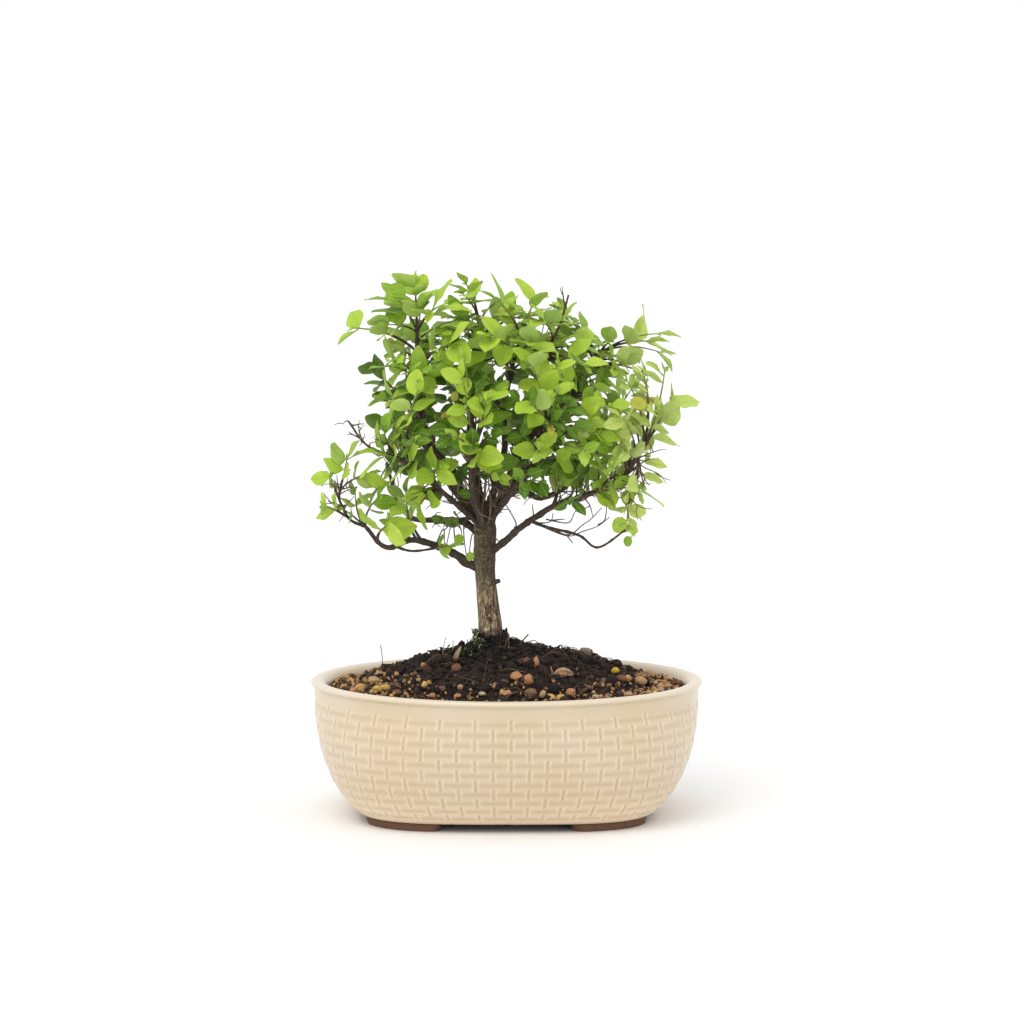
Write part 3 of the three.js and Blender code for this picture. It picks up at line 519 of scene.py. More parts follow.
def rod(path, radii, sides, bumps=None):
    """A closed round rod along a path; bumps adds to the radius at each ring and side."""
    path = np.asarray(path, float)
    _, side, other = rod_frames(path)
    turn = np.linspace(0, 2 * np.pi, sides, endpoint=False)
    radius = np.broadcast_to(np.asarray(radii, float), (len(path),))[:, None]
    radius = np.repeat(radius, sides, 1) + (0 if bumps is None else bumps)
    ring = side[:, None] * np.cos(turn)[None, :, None] + other[:, None] * np.sin(turn)[None, :, None]
    rings = path[:, None] + ring * radius[:, :, None]
    return lofted(rings, path[0], path[-1])


def joined(parts):
    """Several (points, triangles, ...) as one; each further member is a value or row per point."""
    points, triangles, others = [], [], []
    start = 0
    for part in parts:
        points.append(part[0])
        triangles.append(part[1] + start)
        others.append(part[2:])
        start += len(part[0])
    more = [np.concatenate(column) for column in zip(*others)]
    return (np.concatenate(points), np.concatenate(triangles), *more)


def plastic_finish():
    material, shader = new_finish("black_net_plastic", 0.55)
    tree = material.node_tree
    haze = noise_of(tree, place_in_mm(tree), 0.9, 3.0)
    color = ramp(tree, haze, [(0.3, (30, 33, 31)), (0.7, (52, 54, 50))])
    tree.links.new(color, shader.inputs["Base Color"])
    raise_by(tree, shader, haze, 0.1)
    return material


def wire_finish():
    material, shader = new_finish("dull_wire", 0.42, Metallic=1.0)
    tree = material.node_tree
    stain = noise_of(tree, place_in_mm(tree), 0.6, 4.0)
    color = ramp(tree, stain, [(0.35, (150, 143, 130)), (0.7, (108, 96, 82))])
    tree.links.new(color, shader.inputs["Base Color"])
    tree.links.new(spread(tree, stain, 0.3, 0.7, 0.32, 0.6), shader.inputs["Roughness"])
    return material


net_plastic = plastic_finish()
dull_wire = wire_finish()
for side, x in (("left", -HOLE_OFFSET), ("right", HOLE_OFFSET)):
    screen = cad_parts[f"drain_screen_{side}"]
    screen.data.materials.clear()
    screen.data.materials.append(net_plastic)
    softened = screen.modifiers.new("softened_edges", "BEVEL")
    softened.width = 0.25 * MM
    softened.segments = 2

    under = FOOT_HEIGHT - 1
    above = FLOOR_TOP + GAP + SCREEN_THICKNESS + WIRE_RADIUS + GAP
    leg, loop, loop_width = 6.4, 12, 2.6
    half = [
        (loop, loop_width, under), (loop + 1.2, loop_width / 2, under), (loop, 0, under),
        (leg + 1, 0, under), (leg, 0, under + 1.2),
        (leg, 0, above - 1.2), (leg + 1, 0, above), (loop, 0, above),
    ]
    mirrored = [(-u, v, w) for u, v, w in reversed(half)]
    route = [(x + u, v - loop_width / 2, w) for u, v, w in mirrored + half]
    wire = new_piece(f"bent_wire_{side}", *rod(spline(route, 5), WIRE_RADIUS, 10), [dull_wire])
    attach(wire, "root")
    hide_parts(f"drain_wire_{side}")

# ------------------------------------------------------------------ gravel
# Round the root ball the pot is filled with a free-draining mix of pumice, baked clay and
# lava grit, two to five millimetres across, poured in dry and left loose.

WALL_GAP = 0.8
GROUND = 66.0
MOUND_RISE = 18.5
MOUND_HALF_LENGTH = 76.0
MOUND_HALF_WIDTH = 56.0
COLLAR_RISE = 5.0             # soil heaped against the trunk, and how far it reaches
COLLAR_REACH = 12.0
TRUNK_X = -8.0
BALL_HALF_LENGTH = 68.0
BALL_RATIO = 0.7
BALL_BOTTOM = 16.0
GRAIN_COUNT = 1300
GRAIN_COLORS = [
    ((196, 156, 106), 0.26), ((214, 162, 100), 0.18), ((228, 180, 92), 0.06), ((134, 98, 70), 0.2),
    ((92, 66, 52), 0.17), ((192, 146, 112), 0.12), ((214, 190, 156), 0.02),
]
TAN, ORANGE, YELLOW = (192, 154, 116), (194, 138, 98), (214, 172, 100)
BROWN, SAND = (128, 88, 66), (204, 184, 152)
DUST = (44, 32, 25)
GRAIN_EDGE = 42               # degrees; a grain's sides meet in an edge where they turn by more
GRAVEL_SEED = 11
STONES = [                    # where each larger stone lies, its length, width and height, its colour
    ((5, -40), (6.6, 5.4, 4.4), ORANGE), ((11, -44), (5, 4.4, 6.6), ORANGE),
    ((15, -28), (3, 3, 6.4), ORANGE), ((10, -28), (3, 2.6, 5), BROWN),
    ((0, -51), (5.6, 4, 3.6), ORANGE), ((22, -53), (6.6, 5, 4), YELLOW),
    ((27, -51), (5, 4.4, 3.8), YELLOW), ((32, -48), (5, 4.2, 5.2), ORANGE),
    ((18, -53), (3.4, 3.4, 4.2), TAN), ((-41, -38), (3.4, 3.2, 4), YELLOW),
    ((-25, -28), (5.4, 4.6, 4.6), BROWN), ((-23, -46), (3, 3, 3), TAN),
    ((-42, -14), (3, 3, 2.6), ORANGE), ((-8, -46), (1.5, 1.5, 1.5), (232, 224, 204)),
    ((55, -14), (5.4, 4.4, 4), (222, 178, 56)), ((68, -15), (7, 5.4, 5), TAN),
    ((58, -23), (6, 4.6, 4), BROWN), ((78, -17), (4.2, 3.8, 4.6), TAN),
    ((83, 6), (4.6, 4, 3.2), TAN), ((88, -4), (5.2, 4, 3.4), BROWN),
    ((74, 17), (6, 4.6, 3.6), TAN), ((61, -42), (5, 3.4, 2.6), TAN),
    ((51, -41), (4.2, 3.2, 2.6), TAN), ((45, -50), (4.4, 3.4, 2.4), SAND),
    ((-84, 14), (6, 4.6, 3.2), TAN), ((-74, -14), (6.2, 4.6, 4.2), YELLOW),
    ((-65, -29), (5.2, 4.4, 4.2), YELLOW), ((-61, -28), (6, 4.4, 3.8), YELLOW),
    ((-67, -16), (7, 5, 4.4), TAN), ((-65, -4), (4.4, 3.8, 3.6), TAN),
    ((-80, -18), (4.8, 3.4, 2.6), BROWN), ((-55, -38), (5, 3.6, 3.2), BROWN),
    ((-24, -51), (4.4, 3.4, 2.8), ORANGE), ((-37, -48), (3.6, 3, 2.6), ORANGE),
    ((-32, -45), (3.8, 3.2, 3.2), BROWN), ((41, 11), (7.4, 6, 5), (150, 132, 116)),
    ((-12, -53), (3.6, 3, 2.2), SAND),
]


def ground_height(x, y):
    reach = (x / MOUND_HALF_LENGTH) ** 2 + (y / MOUND_HALF_WIDTH) ** 2
    mound = MOUND_RISE * np.maximum(0, 1 - reach)
    collar = COLLAR_RISE * np.exp(-((x - TRUNK_X) ** 2 + y ** 2) / COLLAR_REACH ** 2)
    lumps = 0.9 * np.sin(0.21 * x + 1.3) * np.sin(0.27 * y) + 0.5 * np.sin(0.43 * x - 0.37 * y)
    return GROUND + mound + collar + lumps


def inner_half(height):
    return wall_half(height) - WALL_THICKNESS


def rough(points, scale, octaves=3):
    """Seeded cloud noise at each point, about -1 to 1."""
    return np.array([noise.fractal(Vector(p), 0.9, 2.1, octaves) for p in points * scale])


def stone_shapes(subdivisions):
    ball = bmesh.new()
    bmesh.ops.create_icosphere(ball, subdivisions=subdivisions, radius=1)
    points = np.array([vertex.co[:] for vertex in ball.verts])
    triangles = np.array([[vertex.index for vertex in face.verts] for face in ball.faces])
    ball.free()
    return points, triangles


def random_turns(rng, count):
    """Even random rotations, one for each stone."""
    q = unit(rng.normal(size=(count, 4)))
    w, x, y, z = q.T
    rows = [
        [1 - 2 * (y * y + z * z), 2 * (x * y - z * w), 2 * (x * z + y * w)],
        [2 * (x * y + z * w), 1 - 2 * (x * x + z * z), 2 * (y * z - x * w)],
        [2 * (x * z - y * w), 2 * (y * z + x * w), 1 - 2 * (x * x + y * y)],
    ]
    return np.moveaxis(np.array(rows), -1, 0)


def stones(rng, places, radii, shape, chips, slimness):
    """Angular stones: balls flattened on random sides, stretched and turned."""
    base, triangles = shape
    count = len(places)
    points = np.repeat(base[None], count, 0)
    for _ in range(chips):
        cut = unit(rng.normal(size=(count, 1, 3)))
        level = rng.uniform(0.62, 0.92, (count, 1))
        beyond = np.maximum(0, (points * cut).sum(2) - level)
        points = points - beyond[:, :, None] * cut
    points = points * rng.uniform(*slimness, (count, 1, 3))
    points = np.einsum("nij,nkj->nki", random_turns(rng, count), points) * radii[:, None, None]
    points = points + places[:, None]
    offsets = (np.arange(count) * len(base))[:, None, None]
    return points.reshape(-1, 3), (triangles[None] + offsets).reshape(-1, 3)


def scattered(rng, count, half_length, half_width, spacing, accept):
    """Random places in an ellipse, none nearer to another than the spacing."""
    taken, places = {}, []
    for _ in range(count * 40):
        x, y = rng.uniform(-1, 1, 2) * (half_length, half_width)
        if (x / half_length) ** 2 + (y / half_width) ** 2 > 1 or not accept(x, y):
            continue
        cell = (int(x // spacing), int(y // spacing))
        near = [taken.get((cell[0] + i, cell[1] + j)) for i in (-1, 0, 1) for j in (-1, 0, 1)]
        if all(other is None or math.hypot(x - other[0], y - other[1]) > spacing for other in near):
            taken[cell] = (x, y)
            places.append((x, y))
            if len(places) == count:
                break
    return np.array(places)


def picked_colors(rng, count, palette):
    shares = np.array([share for _, share in palette])
    colors = np.array([linear(*color)[:3] for color, _ in palette])
    chosen = colors[rng.choice(len(palette), count, p=shares / shares.sum())]
    return chosen * rng.uniform(0.72, 1.18, (count, 1))


def grit_finish(name, pit_scale, pit_depth):
    """Porous mineral; each grain keeps its own colour."""
    material, shader = new_finish(name, 0.9)
    tree = material.node_tree
    place = place_in_mm(tree)
    fine = noise_of(tree, place, pit_scale, 4.0, 0.65)
    shaded = spread(tree, fine, 0.3, 0.7, 0.62, 1.2)
    tree.links.new(scaled(tree, mark(tree, "tone")["Vector"], shaded), shader.inputs["Base Color"])
    raise_by(tree, shader, fine, pit_depth)
    return material


def one_color(points, color):
    """The same colour at every point."""
    return np.tile(linear(*color)[:3], (len(points), 1))


def in_root_ball(x, y, margin):
    half = BALL_HALF_LENGTH + margin
    return (x / half) ** 2 + (y / (half * BALL_RATIO)) ** 2 < 1


def bed_skin():
    """The poured fill as one body: floor, wall side, top, and the hollow that holds the ball."""
    columns = evenly(240)
    rows = [(half, z, 0) for half, z in (
        (30, FLOOR_TOP + GAP), (inner_half(13) - 6.5, FLOOR_TOP + GAP), (inner_half(15) - WALL_GAP, 14.3),
        (inner_half(28) - WALL_GAP, 28), (inner_half(45) - WALL_GAP, 45), (inner_half(60) - WALL_GAP, 60),
    )]
    rim = inner_half(62) - WALL_GAP
    top = [(rim - drop, 0, 1) for drop in np.linspace(0.2, rim - BALL_HALF_LENGTH - 0.5, 22)]
    ball = BALL_HALF_LENGTH + GAP
    hollow = [(half, z, 2) for half, z in (
        (ball, 58), (ball - 1, 52), (ball - 7, 34), (ball - 18, BALL_BOTTOM - GAP), (20, BALL_BOTTOM - GAP),
    )]
    rings = []
    for half, z, part in rows + top + hollow:
        if part == 2:
            ring = oval_ring(half, half * BALL_RATIO, 2, columns)
        else:
            width = half * OVAL_RATIO - WALL_THICKNESS * (1 - OVAL_RATIO)
            share = (rim - half) / (rim - BALL_HALF_LENGTH) if part == 1 else 0
            width = (1 - share) * width + share * BALL_HALF_LENGTH * BALL_RATIO
            ring = oval_ring(half, width, oval_exponent(z if part == 0 else WALL_TOP), columns)
        height = ground_height(ring[:, 0], ring[:, 1]) - 0.9 if part == 1 else np.full(len(ring), z)
        rings.append(np.column_stack([ring, height]))
    rings = np.array(rings)
    on_top = slice(len(rows), len(rows) + len(top))
    shape = rings[on_top].shape
    rings[on_top, :, 2] += 0.9 * rough(rings[on_top].reshape(-1, 3), 0.55).reshape(shape[:2])
    return lofted(rings, (0, 0, FLOOR_TOP + GAP), (0, 0, BALL_BOTTOM - GAP))


def gravel_share(x, y):
    """How much of the ground is gravel: most of it at both ends and behind, little in front."""
    ends = smooth_step(34, 58, abs(x + 4))
    behind = 0.9 * smooth_step(0, 30, y)
    patches = noise.noise(Vector((x * 0.07, y * 0.07, 3.0)))
    return min(1, 0.05 + max(ends, behind) * (0.66 + 0.7 * patches))


def placed_stone(rng, place, size, color):
    """One larger stone of a given length, width and height, lying a little sunk in the ground."""
    points, triangles = stones(rng, np.zeros((1, 3)), np.ones(1), stone_fine, 13, (0.92, 1.0))
    middle = (points.max(0) + points.min(0)) / 2
    points = (points - middle) / (points.max(0) - points.min(0)) * size
    height = ground_height(*place) + 0.3 * size[2]
    return points + (*place, height), triangles, one_color(points, color)


stone_fine = stone_shapes(2)
stone_small = stone_shapes(1)
rng = np.random.default_rng(GRAVEL_SEED)
grain_reach = inner_half(62) - 2.4
grains_at = scattered(
    rng, GRAIN_COUNT, grain_reach, grain_reach * OVAL_RATIO - 1.2, 2.2,
    lambda x, y: not in_root_ball(x, y, -7.0 + 14 * noise.noise(Vector((x * 0.06, y * 0.06, 3.0))))
    and rng.random() < gravel_share(x, y),
)
grain_radii = 1.0 + 1.25 * rng.random(len(grains_at)) ** 2.4
grain_height = ground_height(*grains_at.T) + rng.uniform(-0.5, 0.8, len(grains_at))
grain_places = np.column_stack([grains_at, grain_height])
grain_colors = picked_colors(rng, len(grains_at), GRAIN_COLORS)
bed_points, bed_triangles = bed_skin()
grains = stones(rng, grain_places, grain_radii, stone_small, 7, (0.6, 1.0))
points, triangles, tone = joined([
    (bed_points, bed_triangles, one_color(bed_points, DUST)),
    (*grains, np.repeat(grain_colors, len(stone_small[0]), 0)),
    *[placed_stone(rng, *stone) for stone in STONES],
])
grit = grit_finish("mixed_grit", 1.5, 0.35)
gravel = new_piece("poured_gravel", points, triangles, [grit], {"tone": tone})
gravel.data.set_sharp_from_angle(angle=math.radians(GRAIN_EDGE))
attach(gravel, "root")
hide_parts("gravel_bed")

# ------------------------------------------------------------------ root ball
# The tree was lifted from a nursery pot with its own dark bark compost, a crumbly mound full
# of chips and fine root hairs that stands above the gravel round it.

SOIL_SEED = 23
BETWEEN_CRUMBS = (44, 32, 26)
CRUMB_EDGE = 45
CRUMB_COLORS = [
    ((40, 28, 22), 0.38), ((58, 40, 31), 0.26), ((28, 22, 19), 0.22),
    ((92, 64, 48), 0.08), ((124, 90, 66), 0.04), ((166, 130, 98), 0.02),
]
CHIP_COLORS = [((74, 49, 37), 0.38), ((108, 76, 56), 0.16), ((48, 35, 28), 0.4), ((146, 110, 82), 0.06)]
FIBRE_COLORS = [((100, 74, 53), 0.42), ((140, 112, 82), 0.2), ((60, 45, 35), 0.38)]
FIBRES = 170
FIBRE_STEPS = 6
FIBRE_LENGTH = (7, 24)
FIBRE_RADIUS = (0.12, 0.24)
FIBRE_FIELD = (86, 60)        # half the oval that fibres stay in
HEAP_HEIGHT = 8.5             # dark soil drawn up against the trunk, and how far out
HEAP_REACH = 13.0
DARK_REACH = 58.0             # the soil is darkest round the trunk, out to here
DARK_SHARE = 0.7
SHOULDER = (5.0, -1.0, 10.0)  # a crumbly shoulder of soil right of the trunk: its place and reach
SHOULDER_RISE = 5.0


def ball_skin():
    columns, ball = evenly(280), BALL_HALF_LENGTH
    sides = [(20, BALL_BOTTOM), (ball - 18, BALL_BOTTOM), (ball - 7, 34), (ball - 1, 54), (ball - 0.2, 60)]
    shares = np.linspace(1, 0.02, 62)
    rings = []
    for half, z in sides:
        ring = oval_ring(half, half * BALL_RATIO, 2, columns)
        rings.append(np.column_stack([ring, np.full(len(ring), z)]))
    for share in shares:
        ring = oval_ring(ball * share, ball * share * BALL_RATIO, 2, columns)
        rings.append(np.column_stack([ring, ground_height(ring[:, 0], ring[:, 1]) - 0.5]))
    rings = np.array(rings)
    top = rings[len(sides):]
    top[:, :, 2] += 1.1 * rough(top.reshape(-1, 3), 0.3, 4).reshape(top.shape[:2])
    return lofted(rings, (0, 0, BALL_BOTTOM), (0, 0, ground_height(0.0, 0.0) - 0.5))


def settled(rng, count, spacing, lift):
    """Places on the mound, and beyond it wherever there is little gravel."""
    half = inner_half(62) - 3
    places = scattered(
        rng, count, half, half * OVAL_RATIO - 2, spacing,
        lambda x, y: in_root_ball(x, y, 1.0) or rng.random() > 1.3 * gravel_share(x, y),
    )
    height = ground_height(*places.T) + rng.uniform(*lift, len(places))
    return np.column_stack([places, height])


def heaped(rng, count, middle, nearest, reach, height):
    """Places in a heap of soil, from its nearest ring out to its reach."""
    turn, out = rng.uniform(0, 2 * np.pi, count), rng.uniform(nearest, reach, count)
    x, y = middle[0] + out * np.cos(turn), middle[1] + 0.8 * out * np.sin(turn)
    rise = height * (1 - (out - nearest) / (reach - nearest)) * rng.uniform(0.1, 0.75, count)
    return np.column_stack([x, y, ground_height(x, y) + rise - 1])


def darkening_near_trunk(places):
    """How much darker the soil is near the trunk."""
    distance = np.hypot(1.4 * (places[:, 0] - TRUNK_X), places[:, 1])
    return 1 - DARK_SHARE * np.exp(-(distance / DARK_REACH) ** 2)[:, None]


def fibre(rng, place, color):
    """A dead root hair or straw that lies loosely over the ground."""
    length = rng.uniform(*FIBRE_LENGTH)
    heading = rng.uniform(0, 2 * math.pi) + np.cumsum(rng.normal(0, 0.35, FIBRE_STEPS))
    step = np.column_stack([np.cos(heading), np.sin(heading)]) * length / FIBRE_STEPS
    way = np.cumsum(step, 0) + place[:2]
    inside = ((way / FIBRE_FIELD) ** 2).sum(1) < 1
    way = way[:max(3, int(inside.argmin()) if not inside.all() else FIBRE_STEPS)]
    height = ground_height(*way.T) + 0.7 + rng.uniform(0, 2.2) * np.sin(np.pi * np.linspace(0, 1, len(way)))
    points, triangles = rod(spline(np.column_stack([way, height]), 2), rng.uniform(*FIBRE_RADIUS), 4)
    return points, triangles, np.tile(color, (len(points), 1))


rng = np.random.default_rng(SOIL_SEED)
ball_points, ball_triangles = ball_skin()
parts = [(ball_points, ball_triangles, one_color(ball_points, BETWEEN_CRUMBS))]
round_trunk = (TRUNK_X, 0), 6.5, HEAP_REACH, HEAP_HEIGHT
on_shoulder = SHOULDER[:2], 0, SHOULDER[2], SHOULDER_RISE
for places, size, shape, palette, least in (
    (settled(rng, 190, 6.0, (-1.0, 0.4)), (2.2, 4.2), stone_fine, CRUMB_COLORS, 0.55),
    (settled(rng, 620, 3.0, (-0.4, 0.7)), (1.0, 2.1), stone_small, CRUMB_COLORS, 0.5),
    (settled(rng, 1500, 1.5, (-0.2, 0.8)), (0.4, 1.0), stone_small, CRUMB_COLORS, 0.5),
    (settled(rng, 210, 4.4, (0.2, 1.3)), (1.6, 3.6), stone_small, CHIP_COLORS, 0.16),
    (heaped(rng, 230, *round_trunk), (0.8, 2.2), stone_small, CRUMB_COLORS[:3], 0.5),
    (heaped(rng, 90, *on_shoulder), (0.9, 2.0), stone_small, CRUMB_COLORS[:4], 0.5),
):
    radii = rng.uniform(*size, len(places))
    crumbs = stones(rng, places, radii, shape, 6, (least, 1.0))
    colors = picked_colors(rng, len(places), palette) * darkening_near_trunk(places)
    parts.append((*crumbs, np.repeat(colors, len(shape[0]), 0)))
fibre_places = settled(rng, FIBRES, 3.0, (0, 0))
for place, color in zip(fibre_places, picked_colors(rng, len(fibre_places), FIBRE_COLORS)):
    parts.append(fibre(rng, place, color))
points, triangles, tone = joined(parts)
compost = grit_finish("bark_compost", 1.1, 0.5)
soil = new_piece("compost_mound", points, triangles, [compost], {"tone": tone})
soil.data.set_sharp_from_angle(angle=math.radians(CRUMB_EDGE))
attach(soil, "root")
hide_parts("root_ball")

# ------------------------------------------------------------------ moss, husks and sprouts
# A tuft of moss has spread over the soil against the trunk. Dry husks and a curled leaf have come to rest
# round it, and a few thin seedling stalks stand up out of the mound.

MOSS_SEED = 67
MOSS_HEAPS = [                # crumbs, middle, nearest ring, reach and height of each
    (120, (-16.0, -10.0), 0, 8.5, 6.5), (26, (-15.6, -4.0), 0, 3.6, 12.0),
]
MOSS_SPIKES = 560
SPIKE_SIDES = 3
PALE_MOSS_FROM = 88.0         # the moss is fresher at its top, from this height
MOSS_COLORS = [((24, 25, 18), 0.45), ((34, 38, 24), 0.3), ((46, 52, 32), 0.15), ((58, 46, 36), 0.1)]
SPIKE_COLORS = [((34, 40, 24), 0.5), ((54, 64, 34), 0.3), ((96, 110, 62), 0.14), ((186, 194, 160), 0.06)]
PALE_SPIKES = [((92, 104, 54), 0.4), ((138, 150, 90), 0.4), ((198, 204, 160), 0.2)]
HUSKS = [                     # path, greatest half width, colour
    ([(-28.5, -20.0, 77.5), (-26.0, -19.0, 82.0), (-23.0, -17.5, 88.0)], 1.3, (168, 148, 116)),
    ([(-30.5, -21.0, 78.0), (-27.5, -20.5, 80.5), (-25.5, -20.0, 84.5)], 0.9, (146, 124, 94)),
    ([(-33.0, -19.0, 79.0), (-29.5, -20.0, 79.5), (-26.0, -22.0, 80.0)], 0.8, (124, 100, 76)),
    ([(23.5, -33.5, 75.4), (28.0, -34.0, 77.6), (33.6, -33.5, 76.0)], 2.3, (186, 146, 114)),
    ([(24.5, -35.0, 75.0), (28.5, -36.0, 75.6), (32.6, -35.5, 77.8)], 1.2, (134, 98, 76)),
    ([(-1.6, -4.0, 84.0), (-1.2, -4.0, 90.0), (0.2, -4.0, 95.6)], 1.3, (44, 36, 30)),
]
SPROUTS = [                   # path, radius, colour
    ([(-64.0, 6.0, 70.5), (-63.7, 6.5, 77.0), (-64.6, 7.0, 85.0)], 0.24, (92, 78, 62)),
    ([(-32.6, -2.0, 80.5), (-32.0, -2.0, 86.0), (-31.0, -2.0, 90.4)], 0.2, (176, 172, 150)),
    ([(-27.4, -2.0, 82.0), (-27.3, -2.0, 88.6)], 0.22, (116, 124, 96)),
    ([(6.0, -2.0, 85.5), (8.6, -2.0, 88.8), (11.2, -2.0, 91.8)], 0.36, (104, 88, 72)),
    ([(43.0, 2.0, 77.5), (43.6, 2.0, 83.4)], 0.3, (88, 70, 56)),
    ([(21.0, -33.0, 74.0), (23.0, -33.5, 76.5), (22.2, -33.0, 80.0)], 0.3, (170, 140, 108)),
    ([(0.8, -9.0, 83.0), (1.2, -9.5, 88.0), (0.7, -9.0, 94.0)], 0.22, (120, 104, 84)),
]


def husk(path, half_width, color):
    """A dry flat leaf or sheath, widest in the middle and thin throughout."""
    route = spline(path, 6)
    share = np.linspace(0, 1, len(route))
    widths = half_width * (0.15 + 0.85 * np.sin(np.pi * share) ** 0.7)
    turn = np.linspace(0, 2 * np.pi, 12, endpoint=False)
    flattened = -widths[:, None] * (0.86 * np.sin(turn) ** 2 + 0.08 * np.sin(3 * turn + 4 * share[:, None]))
    points, triangles = rod(route, widths, 12, flattened)
    return points, triangles, one_color(points, color)


rng = np.random.default_rng(MOSS_SEED)
places = np.concatenate([heaped(rng, *heap) for heap in MOSS_HEAPS])
crumbs = stones(rng, places, rng.uniform(0.8, 1.8, len(places)), stone_small, 5, (0.6, 1.0))
parts = [(*crumbs, np.repeat(picked_colors(rng, len(places), MOSS_COLORS), len(stone_small[0]), 0))]
shade = np.concatenate([np.repeat([0.5, 0.9, 1.25], SPIKE_SIDES), [0.5, 1.25]])   # darker at the foot
for _ in range(MOSS_SPIKES):
    foot = places[rng.integers(len(places))] + rng.normal(0, 0.7, 3)
    color = picked_colors(rng, 1, PALE_SPIKES if foot[2] > PALE_MOSS_FROM else SPIKE_COLORS)[0]
    lean = unit(rng.normal(0, 0.6, 3) + (0, -0.35, 0.9))
    length = rng.uniform(1.2, 2.6)
    path = foot + np.outer([0, 0.55, 1], lean) * length + np.outer([0, 0.1, 0.5], rng.normal(0, 0.6, 3))
    parts.append((*rod(path, [0.3, 0.34, 0.12], SPIKE_SIDES), np.outer(shade, color)))
points, triangles, tone = joined(parts)
moss = new_piece("moss_tuft", points, triangles, [grit_finish("moss", 2.0, 0.2)], {"tone": tone})
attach(moss, "root")

parts = [husk(*shape) for shape in HUSKS]
for path, radius, color in SPROUTS:
    points, triangles = rod(spline(path, 5), radius, 6)
    parts.append((points, triangles, one_color(points, color)))
points, triangles, tone = joined(parts)
dry_husk = grit_finish("dry_husk", 0.8, 0.2)
litter = new_piece("husks_and_sprouts", points, triangles, [dry_husk], {"tone": tone})
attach(litter, "root")

# ------------------------------------------------------------------ trunk, limbs and twigs
# The trunk forks low into thin limbs that were cut back again and again, so that each carries
# brooms of short dry twigs. The bark is grey-brown, and paler and flecked near the ground.

TRUNK_PATH = [
    (-7, 0, 64), (-8, 0, 84), (-8, 0, 93), (-10, 0, 110), (-11, 0, 124), (-11, 0, 137), (-11, 0, 150),
    (-11, 0, 159),
]
TRUNK_RADII = [9.5, 7.6, 6.2, 5.3, 5, 5.3, 5.8, 4]
LIMBS = [                     # path, thickness at the root and at the end
    ([(-9, 0, 124), (-19, -1, 128), (-26, -3, 133), (-36, -6, 138), (-49, -10, 141), (-61, -14, 138),
      (-73, -17, 151)], 2.4, 0.9),
    ([(-72, -17, 149), (-79, -18, 153), (-84, -20, 163), (-83, -20, 169)], 0.9, 0.6),
    ([(-57, -13, 138.5), (-48, -14, 136), (-38, -13, 137)], 0.9, 0.5),
    ([(-11, 0, 140), (-21, 5, 148), (-34, 11, 149), (-48, 17, 149), (-56, 21, 157), (-61, 22, 174)], 2, 0.8),
    ([(-11, 0, 147), (-20, -5, 158), (-28, -9, 178), (-39, -11, 190), (-44, -10, 216), (-45, -6, 246)],
     2.3, 0.8),
    ([(-11, 0, 149), (-15, 5, 170), (-18, 9, 204), (-17, 8, 230), (-14, 5, 250)], 2.3, 0.8),
    ([(-11, 0, 151), (-6, -8, 167), (-1, -14, 186), (-1, -18, 211), (7, -18, 244)], 2.2, 0.8),
    ([(-11, 0, 149), (-2, 2, 163), (8, 6, 187), (24, 10, 203), (38, 12, 219), (47, 12, 234)], 2.3, 0.8),
    ([(-11, 0, 132), (-3, -4, 138), (8, -9, 148), (26, -13, 160), (39, -14, 164), (58, -12, 173),
      (69, -9, 187)], 1.9, 0.9),
    ([(12, -10, 151), (22, -16, 148), (36, -20, 145), (46, -22, 139), (60, -24, 148)], 1.1, 0.5),
    ([(67, -9, 184), (66, -11, 177), (61, -13, 160)], 0.7, 0.5),
    ([(-11, 0, 151), (4, 9, 164), (17, 16, 160), (29, 20, 164), (38, 22, 175), (48, 23, 190)], 2.1, 0.8),
    ([(-11, 0, 147), (-15, 18, 161), (-19, 34, 178), (-20, 45, 200)], 2, 0.8),
    ([(-10, 1, 150), (4, 18, 170), (16, 32, 188), (26, 42, 208)], 2, 0.8),
    ([(-11, 1, 148), (-28, 18, 165), (-40, 30, 182), (-48, 36, 200)], 2.3, 0.8),
    ([(-11, -1, 145), (-15, -17, 158), (-18, -30, 172), (-16, -40, 188)], 1.9, 0.7),
    ([(-10, -1, 149), (2, -19, 166), (13, -32, 182), (20, -40, 200)], 2.2, 0.8),
    ([(-11, -1, 146), (-25, -15, 160), (-37, -25, 172), (-48, -30, 184)], 1.9, 0.8),
    ([(6, -18, 240), (19, -20, 238), (26, -22, 250), (31, -24, 266)], 0.9, 0.5),
    ([(-46, -29, 182), (-58, -28, 186), (-70, -26, 191), (-79, -26, 203)], 0.9, 0.5),
]
BURL = [                      # a swelling under the low left limb
    (-10, 0, 127.2), (-17, -0.8, 127.2), (-22, -1.8, 128.6), (-25, -2.6, 132),
]
FINE_LIMB = 1.2               # limbs up to this thick are made a little slimmer and plainer
WOOD_OVERLAP = 0.03           # share of a shoot where its wood reaches into its green stem
SWAY_SEED = 5                 # without a seed, noise_vector would sway the limbs otherwise on each run
